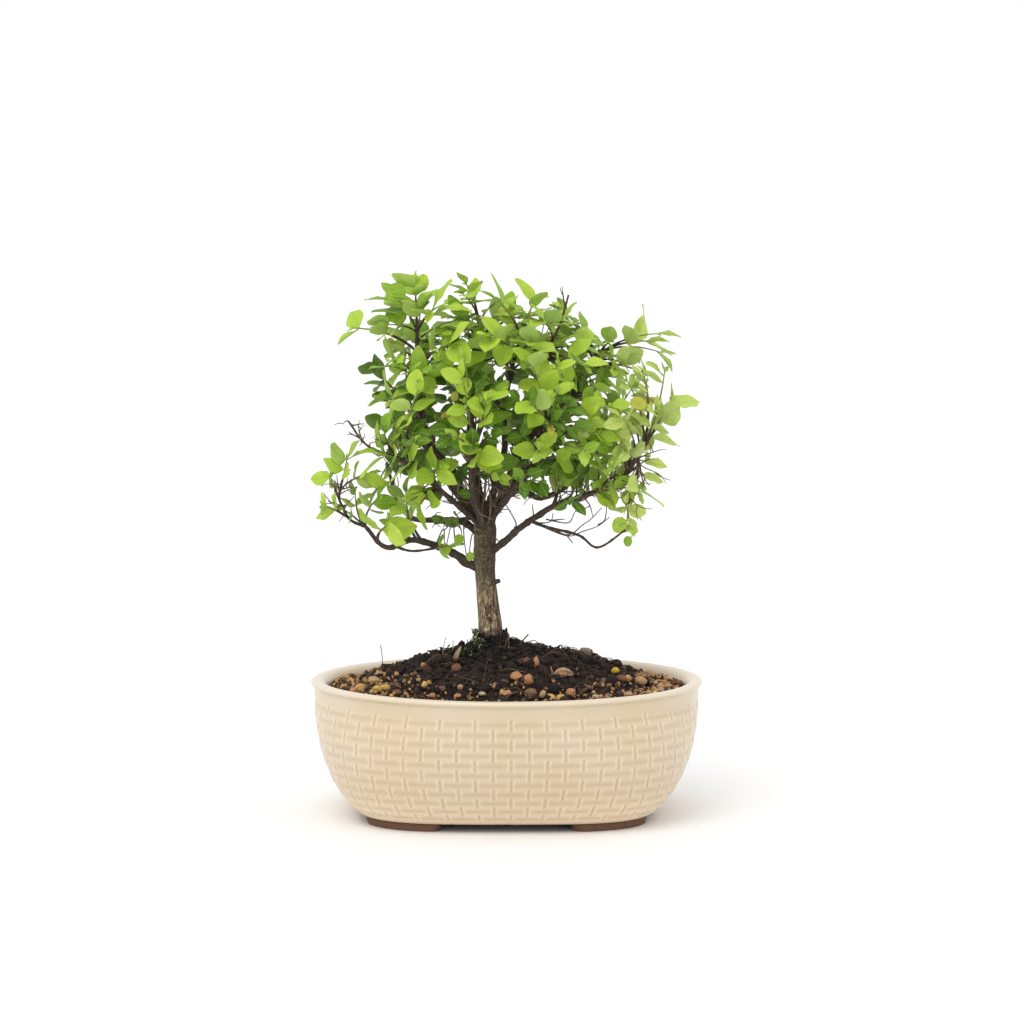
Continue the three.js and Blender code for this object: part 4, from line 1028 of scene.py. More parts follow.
FRONT_SHOOTS = [              # where each ends, its leaves and their length
    ((-14, -46, 189), 7, 15), ((-59, -28, 151), 4, 15), ((-61, -33, 187), 5, 19), ((-33, -40, 181), 6, 13),
    ((-91, -23, 160), 5, 10), ((-28, -14, 139), 4, 9), ((61, -13, 152), 6, 10), ((52, -20, 169), 5, 12),
    ((35, -30, 186), 5, 13), ((70, -6, 181), 4, 14), ((47, -34, 197), 6, 14), ((16, -44, 193), 6, 12),
    ((74, 6, 195), 5, 14), ((-89, -14, 174), 5, 13), ((-44, -44, 219), 7, 14), ((-9, -56, 217), 7, 15),
    ((12, -54, 214), 6, 15), ((53, -32, 211), 6, 14), ((83, 0, 211), 4, 17), ((-62, -12, 213), 6, 14),
    ((-57, -22, 230), 6, 15), ((12, -46, 234), 6, 16), ((39, -32, 231), 6, 14), ((68, -5, 226), 5, 14),
    ((-27, -35, 242), 7, 15), ((-7, -38, 246), 6, 17), ((72, 6, 241), 6, 15), ((52, 0, 241), 6, 13),
    ((29, 0, 253), 6, 14), ((-77, 0, 248), 5, 15), ((14, -5, 262), 6, 14), ((-3, -20, 262), 6, 14),
    ((-20, -3, 270), 6, 14), ((-46, -7, 270), 7, 15), ((-48, -42, 184), 5, 17), ((-34, -22, 260), 6, 15),
    ((-44, -32, 161), 5, 14),
]
BACK_SHOOTS = 14
BACK_LOWEST, BACK_HIGHEST = -0.5, 0.95     # over half the crown's height
BACK_FIRST, BACK_ARC = 12.0, 156.0         # degrees from the crown's right end
BACK_REACH = 0.86
BACK_LEAVES = 6
BACK_LEAF_LENGTH = 14
GOLDEN_STEP = 0.618034
CROWN = np.array([-3.0, 0.0, 203.0])
CROWN_HALF = np.array([86.0, 66.0, 66.0])
TRUNK_CLEARANCE = 5.2
WOODY_SHARE = 0.45            # share of a shoot that has turned to wood
SHORTEST_SHOOT = 15.0         # a shoot would rather spring from further off than this
START_ALONG = 0.22            # it sets off along its wood, and bends at this share of its way
BEND_AT = 0.3
THICKEST_SHOOT = 1.1          # radius, and at most this share of what bears it
SHOOT_SHARE = 0.8


def headings_of(points):
    return unit(np.concatenate([points[1:], points[-1:]]) - np.concatenate([points[:1], points[:-1]]))


def quadratic(corners, shares):
    """Points of a bend from the first corner to the last that leans to the middle one."""
    t = np.asarray(shares, float)[:, None]
    return (1 - t) ** 2 * corners[0] + 2 * t * (1 - t) * corners[1] + t * t * corners[2]


def part_of(corners, start, end):
    """The corners of the stretch of a bend between two shares."""
    first, middle, last = corners
    turned = first * (1 - start) * (1 - end) + middle * ((1 - start) * end + start * (1 - end))
    turned = turned + last * start * end
    ends = quadratic(corners, [start, end])
    return np.array([ends[0], turned, ends[1]])


def woody_stretch(shoot, steps):
    return quadratic(part_of(shoot["corners"], 0, WOODY_SHARE + WOOD_OVERLAP), np.linspace(0, 1, steps))


def spring(tip, points, headings):
    """A shoot's bend, from the place on the limbs that it most naturally springs from."""
    way = tip - points
    distance = np.linalg.norm(way, axis=1)
    turn = (way * headings).sum(1) / distance
    cost = distance * (1.3 - 0.5 * turn) + 3 * np.maximum(0, SHORTEST_SHOOT - distance)
    best = int(np.argmin(cost))
    bend = points[best] + headings[best] * START_ALONG * distance[best] + BEND_AT * way[best]
    return np.array([points[best], bend, tip]), best, distance[best]


def back_tips():
    """Tips over the back of the crown, spread evenly by a golden step."""
    tips = []
    for i in range(BACK_SHOOTS):
        height = BACK_LOWEST + (BACK_HIGHEST - BACK_LOWEST) * (i + 0.5) / BACK_SHOOTS
        around = math.radians(BACK_FIRST + BACK_ARC * ((i * GOLDEN_STEP) % 1))
        flat = math.sqrt(1 - height * height)
        out = np.array([flat * math.cos(around), flat * math.sin(around), height])
        tips.append((CROWN + BACK_REACH * out * CROWN_HALF, BACK_LEAVES, BACK_LEAF_LENGTH))
    return tips


def spaced(points, pitch):
    """A path's points again, evenly spaced, and how far along it each lies."""
    way = np.concatenate([[0], np.cumsum(np.linalg.norm(np.diff(points, axis=0), axis=1))])
    count = max(3, int(round(way[-1] / pitch)) + 1)
    stations = np.linspace(0, way[-1], count)
    return np.stack([np.interp(stations, way, points[:, k]) for k in range(3)], 1), stations


def bark_rod(path, thick, thin, sides, pitch, flare, knobs, roughness=0.1, dryness=0.0):
    """A limb or twig with a flared root, swollen nodes and an uneven skin, and how dry it is."""
    points, way = spaced(path, pitch)
    radii = thick + (thin - thick) * way / way[-1]
    radii = radii * (1 + flare * np.exp(-way / (1.6 * thick)))
    node = (way % 8.5) - 4.2
    radii = radii * (1 + knobs * np.exp(-(node / 0.9) ** 2))
    swing = np.array([noise.noise_vector(Vector(p) * 0.13) for p in points])
    ease = np.minimum(1, way / 6)[:, None]
    points = points + 0.35 * min(1, thick) * ease * swing
    skin = rough(points, 0.7, 2)[:, None] * np.ones(sides)
    ripples = np.array([
        [noise.noise(Vector(p) * 0.6 + Vector((0, 0, 7.0 * k))) for k in range(sides)] for p in points
    ])
    bumps = roughness * radii[:, None] * (0.6 * skin + ripples)
    mesh_points, triangles = rod(points, radii, sides, bumps)
    return mesh_points, triangles, np.full(len(mesh_points), dryness), np.zeros(len(mesh_points))


def trunk_skin():
    """The trunk, fluted where its roots start, with shallow upright furrows in the bark."""
    sides = 56
    points, way = spaced(spline(TRUNK_PATH, 24), 0.8)
    share = way / way[-1]
    radii = np.interp(share, np.linspace(0, 1, len(TRUNK_RADII)), TRUNK_RADII)
    turn = np.linspace(0, 2 * np.pi, sides, endpoint=False)
    foot = np.exp(-np.maximum(0, points[:, 2] - 84) / 7)[:, None]
    flutes = 1.1 * foot * np.cos(5 * turn + 0.8) + 0.5 * foot * np.cos(3 * turn)
    height = points[:, 2, None]
    collar = 0.7 * np.exp(-((height - 131) / 5) ** 2) * (0.6 + 0.4 * np.cos(turn))
    collar = collar + 0.55 * np.exp(-((height - 106) / 13) ** 2) * np.maximum(0, -np.cos(turn))
    furrows = np.zeros((len(points), sides))
    for i, point in enumerate(points):
        for k, angle in enumerate(turn):
            out = 1.5 * radii[i]
            at = Vector((math.cos(angle) * out, math.sin(angle) * out, 0.22 * point[2]))
            furrows[i, k] = 0.28 * noise.noise(at * 0.75) + 0.14 * noise.noise(at * 2.1)
    mesh_points, triangles = rod(points, radii, sides, flutes + collar + furrows)
    return mesh_points, triangles, np.zeros(len(mesh_points)), np.ones(len(mesh_points))


def crooked(rng, start, heading, length, steps, bend):
    """A path that wanders a little from its heading."""
    points = [np.asarray(start, float)]
    for _ in range(steps):
        heading = unit(heading + bend * rng.normal(size=3))
        points.append(points[-1] + heading * length / steps)
    return spline(points, 3)


def bark_finish():
    material, shader = new_finish("serissa_bark", 0.82)
    tree = material.node_tree
    place = place_in_mm(tree)
    where = xyz_of(tree, place)
    stretched = add_node(tree, "ShaderNodeVectorMath", {0: place, 1: (1.0, 1.0, 0.35)}, operation="MULTIPLY")
    stretched = stretched.outputs[0]
    fine = noise_of(tree, place, 0.9, 4.0, 0.6)
    flecks = spread(tree, noise_of(tree, stretched, 1.25, 3.0, 0.7), 0.5, 0.62)
    thin = ramp(tree, fine, [(0.3, (52, 43, 38)), (0.55, (80, 67, 57)), (0.78, (120, 102, 86))])
    upper = ramp(tree, fine, [(0.3, (36, 30, 24)), (0.5, (74, 64, 50)), (0.72, (124, 108, 86))])
    coarse = noise_of(tree, stretched, 0.5, 4.0, 0.75)
    lower = ramp(tree, coarse, [(0.38, (46, 35, 27)), (0.5, (124, 102, 77)), (0.61, (222, 194, 154))])
    lower = mixed(tree, product(tree, flecks, 0.6), lower, (226, 202, 164))
    pits = spread(tree, noise_of(tree, stretched, 0.6, 2.0, 0.7), 0.55, 0.61, 0.0, 0.85)
    lower = mixed(tree, pits, lower, (46, 36, 28))
    upper = mixed(tree, product(tree, flecks, 0.25), upper, (150, 132, 106))
    astray = spread(tree, noise_of(tree, place, 0.12, 2.0), 0.3, 0.7, -8.0, 8.0)
    height = total(tree, where["Z"], astray)
    on_trunk = mixed(tree, spread(tree, height, 100.0, 128.0), lower, upper)
    on_trunk = mixed(tree, spread(tree, height, 86.0, 97.0, 0.9, 0.0), on_trunk, (38, 30, 26))
    # Painted light: the trunk's left side is lighter.
    left = spread(tree, where["X"], -11.0, -15.5)
    painted_light_left = product(tree, left, spread(tree, fine, 0.35, 0.6, 0.1, 0.55))
    on_trunk = mixed(tree, painted_light_left, on_trunk, (158, 144, 112))
    # Painted shade: the trunk's right side is darker.
    on_trunk = mixed(tree, spread(tree, where["X"], -9.5, -3.5, 0.0, 0.6), on_trunk, (56, 45, 35))
    color = mixed(tree, mark(tree, "on_trunk")["Fac"], thin, on_trunk)
    dry = ramp(tree, fine, [(0.3, (112, 90, 70)), (0.7, (172, 148, 120))])
    color = mixed(tree, mark(tree, "dryness")["Fac"], color, dry)
    tree.links.new(color, shader.inputs["Base Color"])
    raise_by(tree, shader, total(tree, fine, product(tree, flecks, 0.35)), 0.35)
    return material


def wooden_piece(name, parts):
    points, triangles, dryness, on_trunk = joined(parts)
    piece = new_piece(name, points, triangles, [bark], {"dryness": dryness, "on_trunk": on_trunk})
    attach(piece, "root")
    return piece


noise.seed_set(SWAY_SEED)
limb_runs = [spline(path, 6) for path, _, _ in LIMBS]
limb_points = np.concatenate(limb_runs)
limb_headings = np.concatenate([headings_of(run) for run in limb_runs])
limb_radii = np.concatenate([
    np.linspace(thick, thin, len(run)) for run, (_, thick, thin) in zip(limb_runs, LIMBS)
])
trunk_run = curve_at(TRUNK_PATH, np.linspace(0, 1, 41))
wood_points = [trunk_run, limb_points]
wood_radii = [np.full(len(trunk_run), TRUNK_CLEARANCE), limb_radii]
wood_sprays = [np.full(len(trunk_run), -1), np.full(len(limb_points), -1)]


def new_shoot(tip, leaves, length, spray):
    """A shoot to a tip: its woody stretch and its green one, added to the wood that leaves keep off."""
    corners, best, reach = spring(np.asarray(tip, float), limb_points, limb_headings)
    steps = math.ceil(reach / 2)
    shares = np.arange(steps + 1) / steps
    wood_points.append(quadratic(corners, shares))
    wood_radii.append(np.ones(steps + 1))
    wood_sprays.append(np.where(shares > WOODY_SHARE, spray, -1))
    return {
        "tip": corners[2], "leaves": leaves, "length": length, "corners": corners,
        "stem": part_of(corners, WOODY_SHARE + GAP / reach, 1),
        "root_radius": min(limb_radii[best] * SHOOT_SHARE, THICKEST_SHOOT),
    }


shoots = [new_shoot(*shoot, spray) for spray, shoot in enumerate(FRONT_SHOOTS + back_tips())]

parts = [trunk_skin(), bark_rod(spline(BURL, 6), 2.3, 1.6, 12, 1.0, 0.3, 0.1, 0.16)]
for path, thick, thin in LIMBS:
    if thick > FINE_LIMB:
        parts.append(bark_rod(spline(path, 10), thick, thin, 12, 1.1, 0.7, 0.2))
    else:
        parts.append(bark_rod(spline(path, 10), 0.82 * thick, thin, 8, 1.1, 0.15, 0.25))
for shoot in shoots:
    parts.append(bark_rod(woody_stretch(shoot, 16), shoot["root_radius"], 0.66, 7, 1.5, 0.3, 0.15))
bark = bark_finish()
tree_wood = wooden_piece("trunk_and_limbs", parts)
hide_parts("trunk")

# ------------------------------------------------------------------ dry twigs
# Years of clipping have left the tree full of dead wood: a fan of thin tan stalks out of the
# fork, brooms of bare twiglets all along the limbs, the stub of a cut branch on the trunk.

FORK = (-11.0, 0.0, 148.0)
FAN_STALKS = 34
TWIGLETS = 330
CLUMP = (-30.0, 8.0, 149.0)   # a tight broom of twiglets on the left arm
CLUMP_TWIGS = 24
STUB = [(-7.5, -1.5, 118.2), (-4.6, -2.6, 119.0), (-3.4, -3.0, 119.4)]
TWIG_SEED = 47
HANGING = [                   # thin stalks and twigs that hang clear of the leaves
    [(-36, -6, 138), (-32.0, -10.0, 147.0), (-31.5, -11.0, 139.5)],
    [(-26, -5, 139), (-27.5, -8.0, 150.0), (-30.5, -9.0, 138.5)],
    [(-11, -2, 146), (-20.5, -7.0, 152.0), (-21.5, -8.5, 142.5), (-20.0, -9.0, 132.0)],
    [(-11, -2, 142), (-17.0, -7.0, 144.5), (-19.0, -8.0, 133.0)],
    [(12, -10, 151), (30.0, -16.0, 144.0), (38.5, -18.0, 146.5), (46.0, -20.0, 149.5), (52.0, -20.0, 154.0)],
    [(20, -15, 149), (31.0, -17.0, 144.5), (38.5, -18.5, 150.0), (42.0, -19.0, 152.5), (48.0, -18.0, 158.5)],
    [(46, -20, 150), (49.5, -20.0, 152.5), (50.5, -19.0, 159.5)],
    [(14, -11, 150), (22.0, -14.0, 151.0), (23.5, -14.5, 155.5)],
    [(20, -12, 152), (31.0, -15.0, 150.5), (34.0, -15.5, 155.0), (35.5, -15.0, 158.0)],
    [(22, -13, 151.5), (29.5, -15.0, 152.5)],
    [(4, -8, 147), (4.8, -9.0, 150.0), (-1.5, -10.0, 161.0)],
    [(14, -10, 152), (13.0, -11.0, 159.5)],
    [(30, -18, 145), (33.5, -19.0, 140.5)],
    [(-8.5, -4, 143), (-4.0, -5.0, 140.0), (-3.6, -5.5, 136.5)],
]


def twiglet_places(rng, count):
    """Places on the limbs, most of them in the middle of the crown, and on its right arm."""
    right_arm = (limb_points[:, 0] > 24) & (limb_points[:, 0] < 52) & (limb_points[:, 2] < 196)
    chance = 0.2 + right_arm * 2.2 + (limb_points[:, 2] > 156) * (limb_points[:, 2] < 232) * 0.8
    chance = chance * (np.linalg.norm(limb_points - FORK, axis=1) > 9) * (limb_points[:, 2] > 154)
    return rng.choice(len(limb_points), count, p=chance / chance.sum())


rng = np.random.default_rng(TWIG_SEED)
parts = [bark_rod(spline(STUB, 4), 1.5, 1.0, 9, 0.8, 0.2, 0.0, 0.2)]
for path in HANGING:
    parts.append(bark_rod(spline(path, 6), 0.42, 0.24, 5, 1.6, 0.2, 0.12, 0.1, rng.uniform(0, 0.5)))
for turn in rng.permutation(FAN_STALKS) * 2 * math.pi / FAN_STALKS:
    lean = rng.uniform(0.12, 0.75)
    heading = np.array([lean * math.cos(turn), 0.8 * lean * math.sin(turn), 1.0])
    start = np.array(FORK) + (2.2 * math.cos(turn), 2.2 * math.sin(turn), rng.uniform(-3, 3))
    path = crooked(rng, start, unit(heading), rng.uniform(22, 46), 5, 0.13)
    parts.append(bark_rod(path, rng.uniform(0.4, 0.62), 0.24, 5, 2.2, 0.3, 0.12, 0.1, rng.uniform(0.35, 1)))
for place in twiglet_places(rng, TWIGLETS):
    heading = unit(0.5 * limb_headings[place] + rng.normal(0, 0.7, 3) + (0, 0, 0.35))
    length = rng.uniform(6, 19)
    path = crooked(rng, limb_points[place], heading, length, 4, 0.3)
    parts.append(bark_rod(path, rng.uniform(0.34, 0.5), 0.18, 4, 2.4, 0.3, 0.15, 0.1, rng.uniform(0, 1)))
    if rng.random() < 0.6:
        heading = unit(heading + rng.normal(0, 0.6, 3))
        path = crooked(rng, path[len(path) // 2], heading, 0.5 * length, 2, 0.3)
        parts.append(bark_rod(path, 0.3, 0.17, 4, 2.4, 0.2, 0.1, 0.1, rng.uniform(0, 1)))
for _ in range(CLUMP_TWIGS):
    heading = unit(rng.normal(0, 1, 3) + (0, -0.5, -0.2))
    start = np.array(CLUMP) + rng.normal(0, 1, 3) * (4.0, 1.0, 0.8)
    path = crooked(rng, start, heading, rng.uniform(4, 9), 3, 0.4)
    parts.append(bark_rod(path, 0.42, 0.2, 4, 2.0, 0.2, 0.1, 0.1, rng.uniform(0, 0.7)))
wooden_piece("dry_twigs", parts)

# ------------------------------------------------------------------ leaves
# Leaves stand in pairs on green shoots: broad, softly folded along a pale rib, with curved side veins. The
# young ones are yellow-green; the deep green of the shoots inside and behind the crown is partly their age
# and partly painted shade.

BLADE_WIDTH = 0.33            # half width of a leaf over its length
LEAF_LEAST = 0.9              # size of a leaf over its shoot's usual length, and its range
LEAF_RANGE = 0.36
FACING_OUT = 0.95             # how much a leaf faces out of the crown, up, and at random
FACING_UP = 0.5
FACING_ASTRAY = 0.7
FIRST_LEAVES = 0.22           # shares of a stem where the first and last pairs stand
LAST_LEAVES = 0.88
OPENING = 62                  # degrees that the first pair stands off the stem
OPENING_LESS = 8              # and how much less each pair after it
TOP_OPENING = 12              # the same for the leaf at the tip
TOP_SIZE = 0.8                # and its size
LEAF_SPACING = 2.9
BARK_SPACING = 1.5
LEAF_TRIES = 9
OUTER_BLADE = (16, (          # sides of a blade's skin, and its rings' shares of the length
    0.0, 0.035, 0.07, 0.1, 0.15, 0.22, 0.31, 0.41, 0.52, 0.63, 0.73, 0.82, 0.89, 0.945, 0.985,
))
INNER_BLADE = (10, (0.0, 0.06, 0.1, 0.18, 0.32, 0.5, 0.68, 0.83, 0.94, 0.985))
PETIOLE_RADIUS = 0.3
BLADE_HALF_THICKNESS = 0.17
STEM_SIDES = 6
STEM_PITCH = 1.6
LEAF_SEED = 31


def drawer(seed):
    """The same draws for the same seed, each from 0 to 1."""
    state = (seed + 1) * 2654435761 & 0xFFFFFFFF

    def draw():
        nonlocal state
        state = (state * 1664525 + 1013904223) & 0xFFFFFFFF
        return state / 4294967296
    return draw


def blade_swell(share, blunt=0.8):
    return np.maximum(0, np.sin(np.pi * np.clip(share, 0, 1) ** 0.85)) ** blunt


def aim_leaf(stem, share, spread_angle, around, length, draw):
    """A leaf at a share of a stem: which way it points, how it faces, and how long it is."""
    base = quadratic(stem, [share])[0]
    ends = quadratic(stem, [max(share - 1e-4, 0), min(share + 1e-4, 1)])
    heading = unit(ends[1] - ends[0])
    level = np.array([1.0, 0, 0]) if abs(heading[2]) > 0.95 else np.array([0, 0, 1.0])
    first = unit(level - (level @ heading) * heading)
    second = np.cross(heading, first)
    aside = math.cos(around) * first + math.sin(around) * second
    along = math.cos(spread_angle) * heading + math.sin(spread_angle) * aside
    along[2] = 0.75 * along[2] + 0.04
    along = unit(along)
    up = FACING_OUT * unit(base - CROWN)
    up[0] += FACING_ASTRAY * (draw() - 0.5)
    up[1] += FACING_ASTRAY * (draw() - 0.5)
    up[2] += FACING_UP
    up = unit(up - (up @ along) * along)
    fold = 0.12 + 0.2 * draw()
    arch = 0.06 + 0.14 * draw()
    return {
        "base": base, "along": along, "up": up, "aside": np.cross(along, up),
        "length": length, "fold": fold, "arch": arch,
    }


def blade_samples(leaf):
    """Points all over a blade, about two millimetres apart, and their shares of its length."""
    rows = math.ceil(leaf["length"] / 2)
    shares = np.repeat(np.arange(1, rows + 1) / rows, 5)
    aside = np.tile([-1, -0.5, 0, 0.5, 1], rows) * blade_swell(shares) * leaf["length"] * BLADE_WIDTH
    lift = leaf["fold"] * np.abs(aside) - leaf["arch"] * leaf["length"] * shares ** 2
    along = shares * leaf["length"]
    points = leaf["base"] + np.outer(along, leaf["along"])
    return points + np.outer(aside, leaf["aside"]) + np.outer(lift, leaf["up"]), shares


placed = {"centres": np.zeros((0, 3)), "reaches": np.zeros(0), "points": [], "shares": [], "sprays": []}


def is_clear(points, shares, spray, wood, leaf_gap, bark_gap):
    centre = points.mean(0)
    reach = np.linalg.norm(points - centre, axis=1).max()
    far = np.linalg.norm(placed["centres"] - centre, axis=1) - placed["reaches"] - reach
    for other in np.flatnonzero(far < leaf_gap):
        squared = ((points[:, None] - placed["points"][other][None]) ** 2).sum(2)
        near = squared < leaf_gap ** 2
        if placed["sprays"][other] == spray:
            near &= ~((shares < 0.3)[:, None] | (placed["shares"][other] < 0.3)[None])
        if near.any():
            return False
    bark, radii, sprays = wood
    close = np.flatnonzero(np.linalg.norm(bark - centre, axis=1) < reach + 7)
    squared = ((points[:, None] - bark[close][None]) ** 2).sum(2)
    near = squared < (radii[close] + bark_gap)[None] ** 2
    near &= ~((shares < 0.3)[:, None] & (sprays[close] == spray)[None])
    return not near.any()


def grow_leaves(shoot, spray, wood, leaf_gap=LEAF_SPACING, bark_gap=BARK_SPACING):
    """The leaves of a shoot: pairs, each turned a quarter from the last, and one at the tip."""
    pairs = math.ceil((shoot["leaves"] - 1) / 2)
    start = drawer(spray * 97)() * math.pi
    leaves = []
    for i in range(shoot["leaves"]):
        last = i == shoot["leaves"] - 1
        pair = i // 2
        step = pair / (pairs - 1) if pairs > 1 else 0.5
        share = 0.98 if last else FIRST_LEAVES + (LAST_LEAVES - FIRST_LEAVES) * step
        draw = drawer(spray * 97 + i + 1)
        for attempt in range(LEAF_TRIES):
            usual = TOP_OPENING if last else OPENING - OPENING_LESS * pair
            opening = usual + (24 + 8 * attempt) * (draw() - 0.5)
            around = start + pair * math.pi / 2 + (i % 2) * math.pi + (0.5 + 0.3 * attempt) * (draw() - 0.5)
            size = (TOP_SIZE if last else 1) * (LEAF_LEAST + LEAF_RANGE * draw()) * (1 - 0.07 * attempt)
            length = shoot["length"] * size
            leaf = aim_leaf(shoot["stem"], share, math.radians(opening), around, length, draw)
            points, shares = blade_samples(leaf)
            if is_clear(points, shares, spray, wood, leaf_gap, bark_gap):
                centre = points.mean(0)
                reach = np.linalg.norm(points - centre, axis=1).max()
                placed["centres"] = np.vstack([placed["centres"], centre])
                placed["reaches"] = np.append(placed["reaches"], reach)
                placed["points"].append(points)
                placed["shares"].append(shares)
                placed["sprays"].append(spray)
                leaves.append(leaf)
                break
    return leaves


def blades(rng, leaves, fineness, yellow_share=0.0, breadth=1.0):
    """All blades of a shoot, each one closed skin from its stalk to its tip, with their marks."""
    count = len(leaves)
    sides, shares = fineness
    read = {key: np.array([leaf[key] for leaf in leaves]) for key in leaves[0]}
    length = read["length"][:, None, None]
    share = np.array(shares)[None, :, None]
    turn = np.linspace(0, 2 * np.pi, sides, endpoint=False)[None, None, :]
    blunt = rng.uniform(0.6, 0.92, (count, 1, 1)) / breadth ** 1.6
    in_blade = np.clip((share - 0.06) / 0.94, 0, 1)
    half_width = length * BLADE_WIDTH * breadth * rng.uniform(0.86, 1.06, (count, 1, 1))
    half_width = np.maximum(half_width * blade_swell(in_blade, blunt), PETIOLE_RADIUS * (share < 0.5))
    stalk = 1 - smooth_step(0.06, 0.14, share)
    tip_thin = 1 - 0.7 * smooth_step(0.8, 1, share)
    thick = stalk * PETIOLE_RADIUS + (1 - stalk) * BLADE_HALF_THICKNESS * tip_thin
    across = half_width * np.cos(turn)
    folded = np.sqrt(across ** 2 + 0.35) - math.sqrt(0.35)
    arched = read["arch"][:, None, None] * length * share ** 2
    lift = read["fold"][:, None, None] * folded * (1 - stalk) - arched
    waves = rng.uniform(1.2, 2.2, (count, 1, 1)) * share + rng.random((count, 1, 1))
    wave = np.sin(2 * np.pi * waves + 1.5 * np.cos(turn))
    lift = lift + 0.028 * length * wave * np.cos(turn) ** 2 * (1 - stalk)
    rib = np.exp(-(across / 0.32) ** 2) * (1 - stalk)
    below = np.sin(turn) < -0.01
    lift = lift + thick * np.sin(turn) - 0.1 * rib * np.where(below, 1.6, 1)
    sway = rng.normal(0, 0.05, (count, 1, 1)) * length * share ** 2
    twist = rng.normal(0, 0.16, (count, 1, 1)) * share
    sideways = across * np.cos(twist) - lift * np.sin(twist) + sway
    lift = across * np.sin(twist) + lift * np.cos(twist)
    along = share * length * np.ones_like(sideways)
    frame_of = [read[key][:, None, None, :] for key in ("along", "aside", "up")]
    points = read["base"][:, None, None, :] + sum(
        amount[..., None] * direction for amount, direction in zip((along, sideways, lift), frame_of)
    )
    chance = rng.random((count, 1, 1)) * np.ones_like(along)
    turning = (rng.random((count, 1, 1)) < yellow_share) & (length < 10.5)
    yellow = turning * rng.uniform(0.5, 1, (count, 1, 1)) * np.ones_like(along)
    blade_mark = np.stack([along, across * np.ones_like(along), share * np.ones_like(along)], -1)
    tint_mark = np.stack([chance, yellow, below * np.ones_like(along)], -1)
    parts = []
    for i in range(count):
        tip = points[i, -1].mean(0) + 0.012 * read["length"][i] * read["along"][i]
        mesh_points, triangles = lofted(points[i], points[i, 0].mean(0), tip)
        ends = [[0, 0, 0], [read["length"][i], 0, 1]]
        parts.append((
            mesh_points, triangles, np.concatenate([blade_mark[i].reshape(-1, 3), ends]),
            np.concatenate([tint_mark[i].reshape(-1, 3), tint_mark[i, [0, -1], 0]]),
        ))
    return joined(parts)


def green_rod(corners, thick, thin):
    """A shoot's green stem, marked with how far up it each point is."""
    path, way = spaced(quadratic(corners, np.linspace(0, 1, 24)), STEM_PITCH)
    radii = thick + (thin - thick) * way / way[-1]
    points, triangles = rod(path, radii, STEM_SIDES)
    shares = np.concatenate([np.repeat(way / way[-1], STEM_SIDES), [0, 1]])
    return points, triangles, np.column_stack([shares, 0 * shares, shares]), np.zeros((len(points), 3))


def leaf_finish(name, young, grown, underside):
    """A green from young to grown, a paler rib, side veins and underside, and a fine net of veins."""
    material, shader = new_finish(name, 0.36, Specular_IOR_Level=0.36)
    tree = material.node_tree
    blade = xyz_of(tree, mark(tree, "blade")["Vector"])
    tint = xyz_of(tree, mark(tree, "tint")["Vector"])
    across = math_of(tree, "ABSOLUTE", blade["Y"])
    forward = math_of(tree, "SUBTRACT", blade["X"], product(tree, across, 0.85))
    forward = total(tree, forward, product(tree, product(tree, across, across), -0.06))
    vein = spread(tree, math_of(tree, "PINGPONG", forward, 1.05), 0.04, 0.26, 1.0, 0.0)
    vein = product(tree, vein, spread(tree, across, 0.2, 4.6, 1.0, 0.25))
    rib = spread(tree, across, 0.12, 0.36, 1.0, 0.0)
    flat = add_node(tree, "ShaderNodeCombineXYZ", {0: blade["X"], 1: blade["Y"], 2: tint["X"]}).outputs[0]
    net = add_node(tree, "ShaderNodeTexVoronoi", {"Vector": flat, "Scale": 1.5}, feature="DISTANCE_TO_EDGE")
    net = spread(tree, net.outputs["Distance"], 0.0, 0.14, 1.0, 0.0)
    mottled = noise_of(tree, place_in_mm(tree), 0.22, 3.0)
    age = total(tree, product(tree, tint["X"], 0.7), product(tree, mottled, 0.5))
    base = mixed(tree, spread(tree, age, 0.1, 1.0), young, grown)
    color = mixed(tree, product(tree, net, 0.2), base, grown)
    pale = mixed(tree, 0.5, young, (226, 236, 166))
    color = mixed(tree, product(tree, vein, 0.55), color, pale)
    color = mixed(tree, product(tree, rib, 0.6), color, pale)
    color = mixed(tree, product(tree, tint["Z"], 0.75), color, underside)
    color = mixed(tree, tint["Y"], color, (230, 216, 96))
    tree.links.new(color, shader.inputs["Base Color"])
    tree.links.new(spread(tree, mottled, 0.3, 0.7, 0.36, 0.5), shader.inputs["Roughness"])
    height = total(tree, product(tree, vein, -0.6), product(tree, rib, -0.7))
    raise_by(tree, shader, total(tree, height, product(tree, net, -0.15)), 0.36)
    through = add_node(tree, "ShaderNodeBsdfTranslucent", {"Color": color})
    blend = add_node(tree, "ShaderNodeMixShader", {0: 0.3, 1: shader.outputs[0], 2: through.outputs[0]})
    tree.links.new(blend.outputs[0], tree.nodes["Material Output"].inputs["Surface"])
    return material


def stem_finish():
    material, shader = new_finish("green_stem", 0.5)
    tree = material.node_tree
    worn = noise_of(tree, place_in_mm(tree), 0.8, 3.0)
    share = xyz_of(tree, mark(tree, "blade")["Vector"])["X"]
    share = total(tree, share, spread(tree, worn, 0.3, 0.7, -0.2, 0.2))
    color = ramp(tree, share, [(0.1, (112, 88, 66)), (0.5, (128, 116, 70)), (0.95, (126, 158, 70))])
    tree.links.new(color, shader.inputs["Base Color"])
    raise_by(tree, shader, worn, 0.12)
    return material


# The shoots at the back take the deep green, partly as painted shade; those at the front, top and far left
# take the fresh green, partly as painted light.
def green_of(tip):
    if tip[0] > 60:
        return "grey"
    if tip[1] > 12:
        return "deep"
    return "fresh" if tip[1] < -26 or tip[2] > 258 or tip[0] < -70 else "mid"


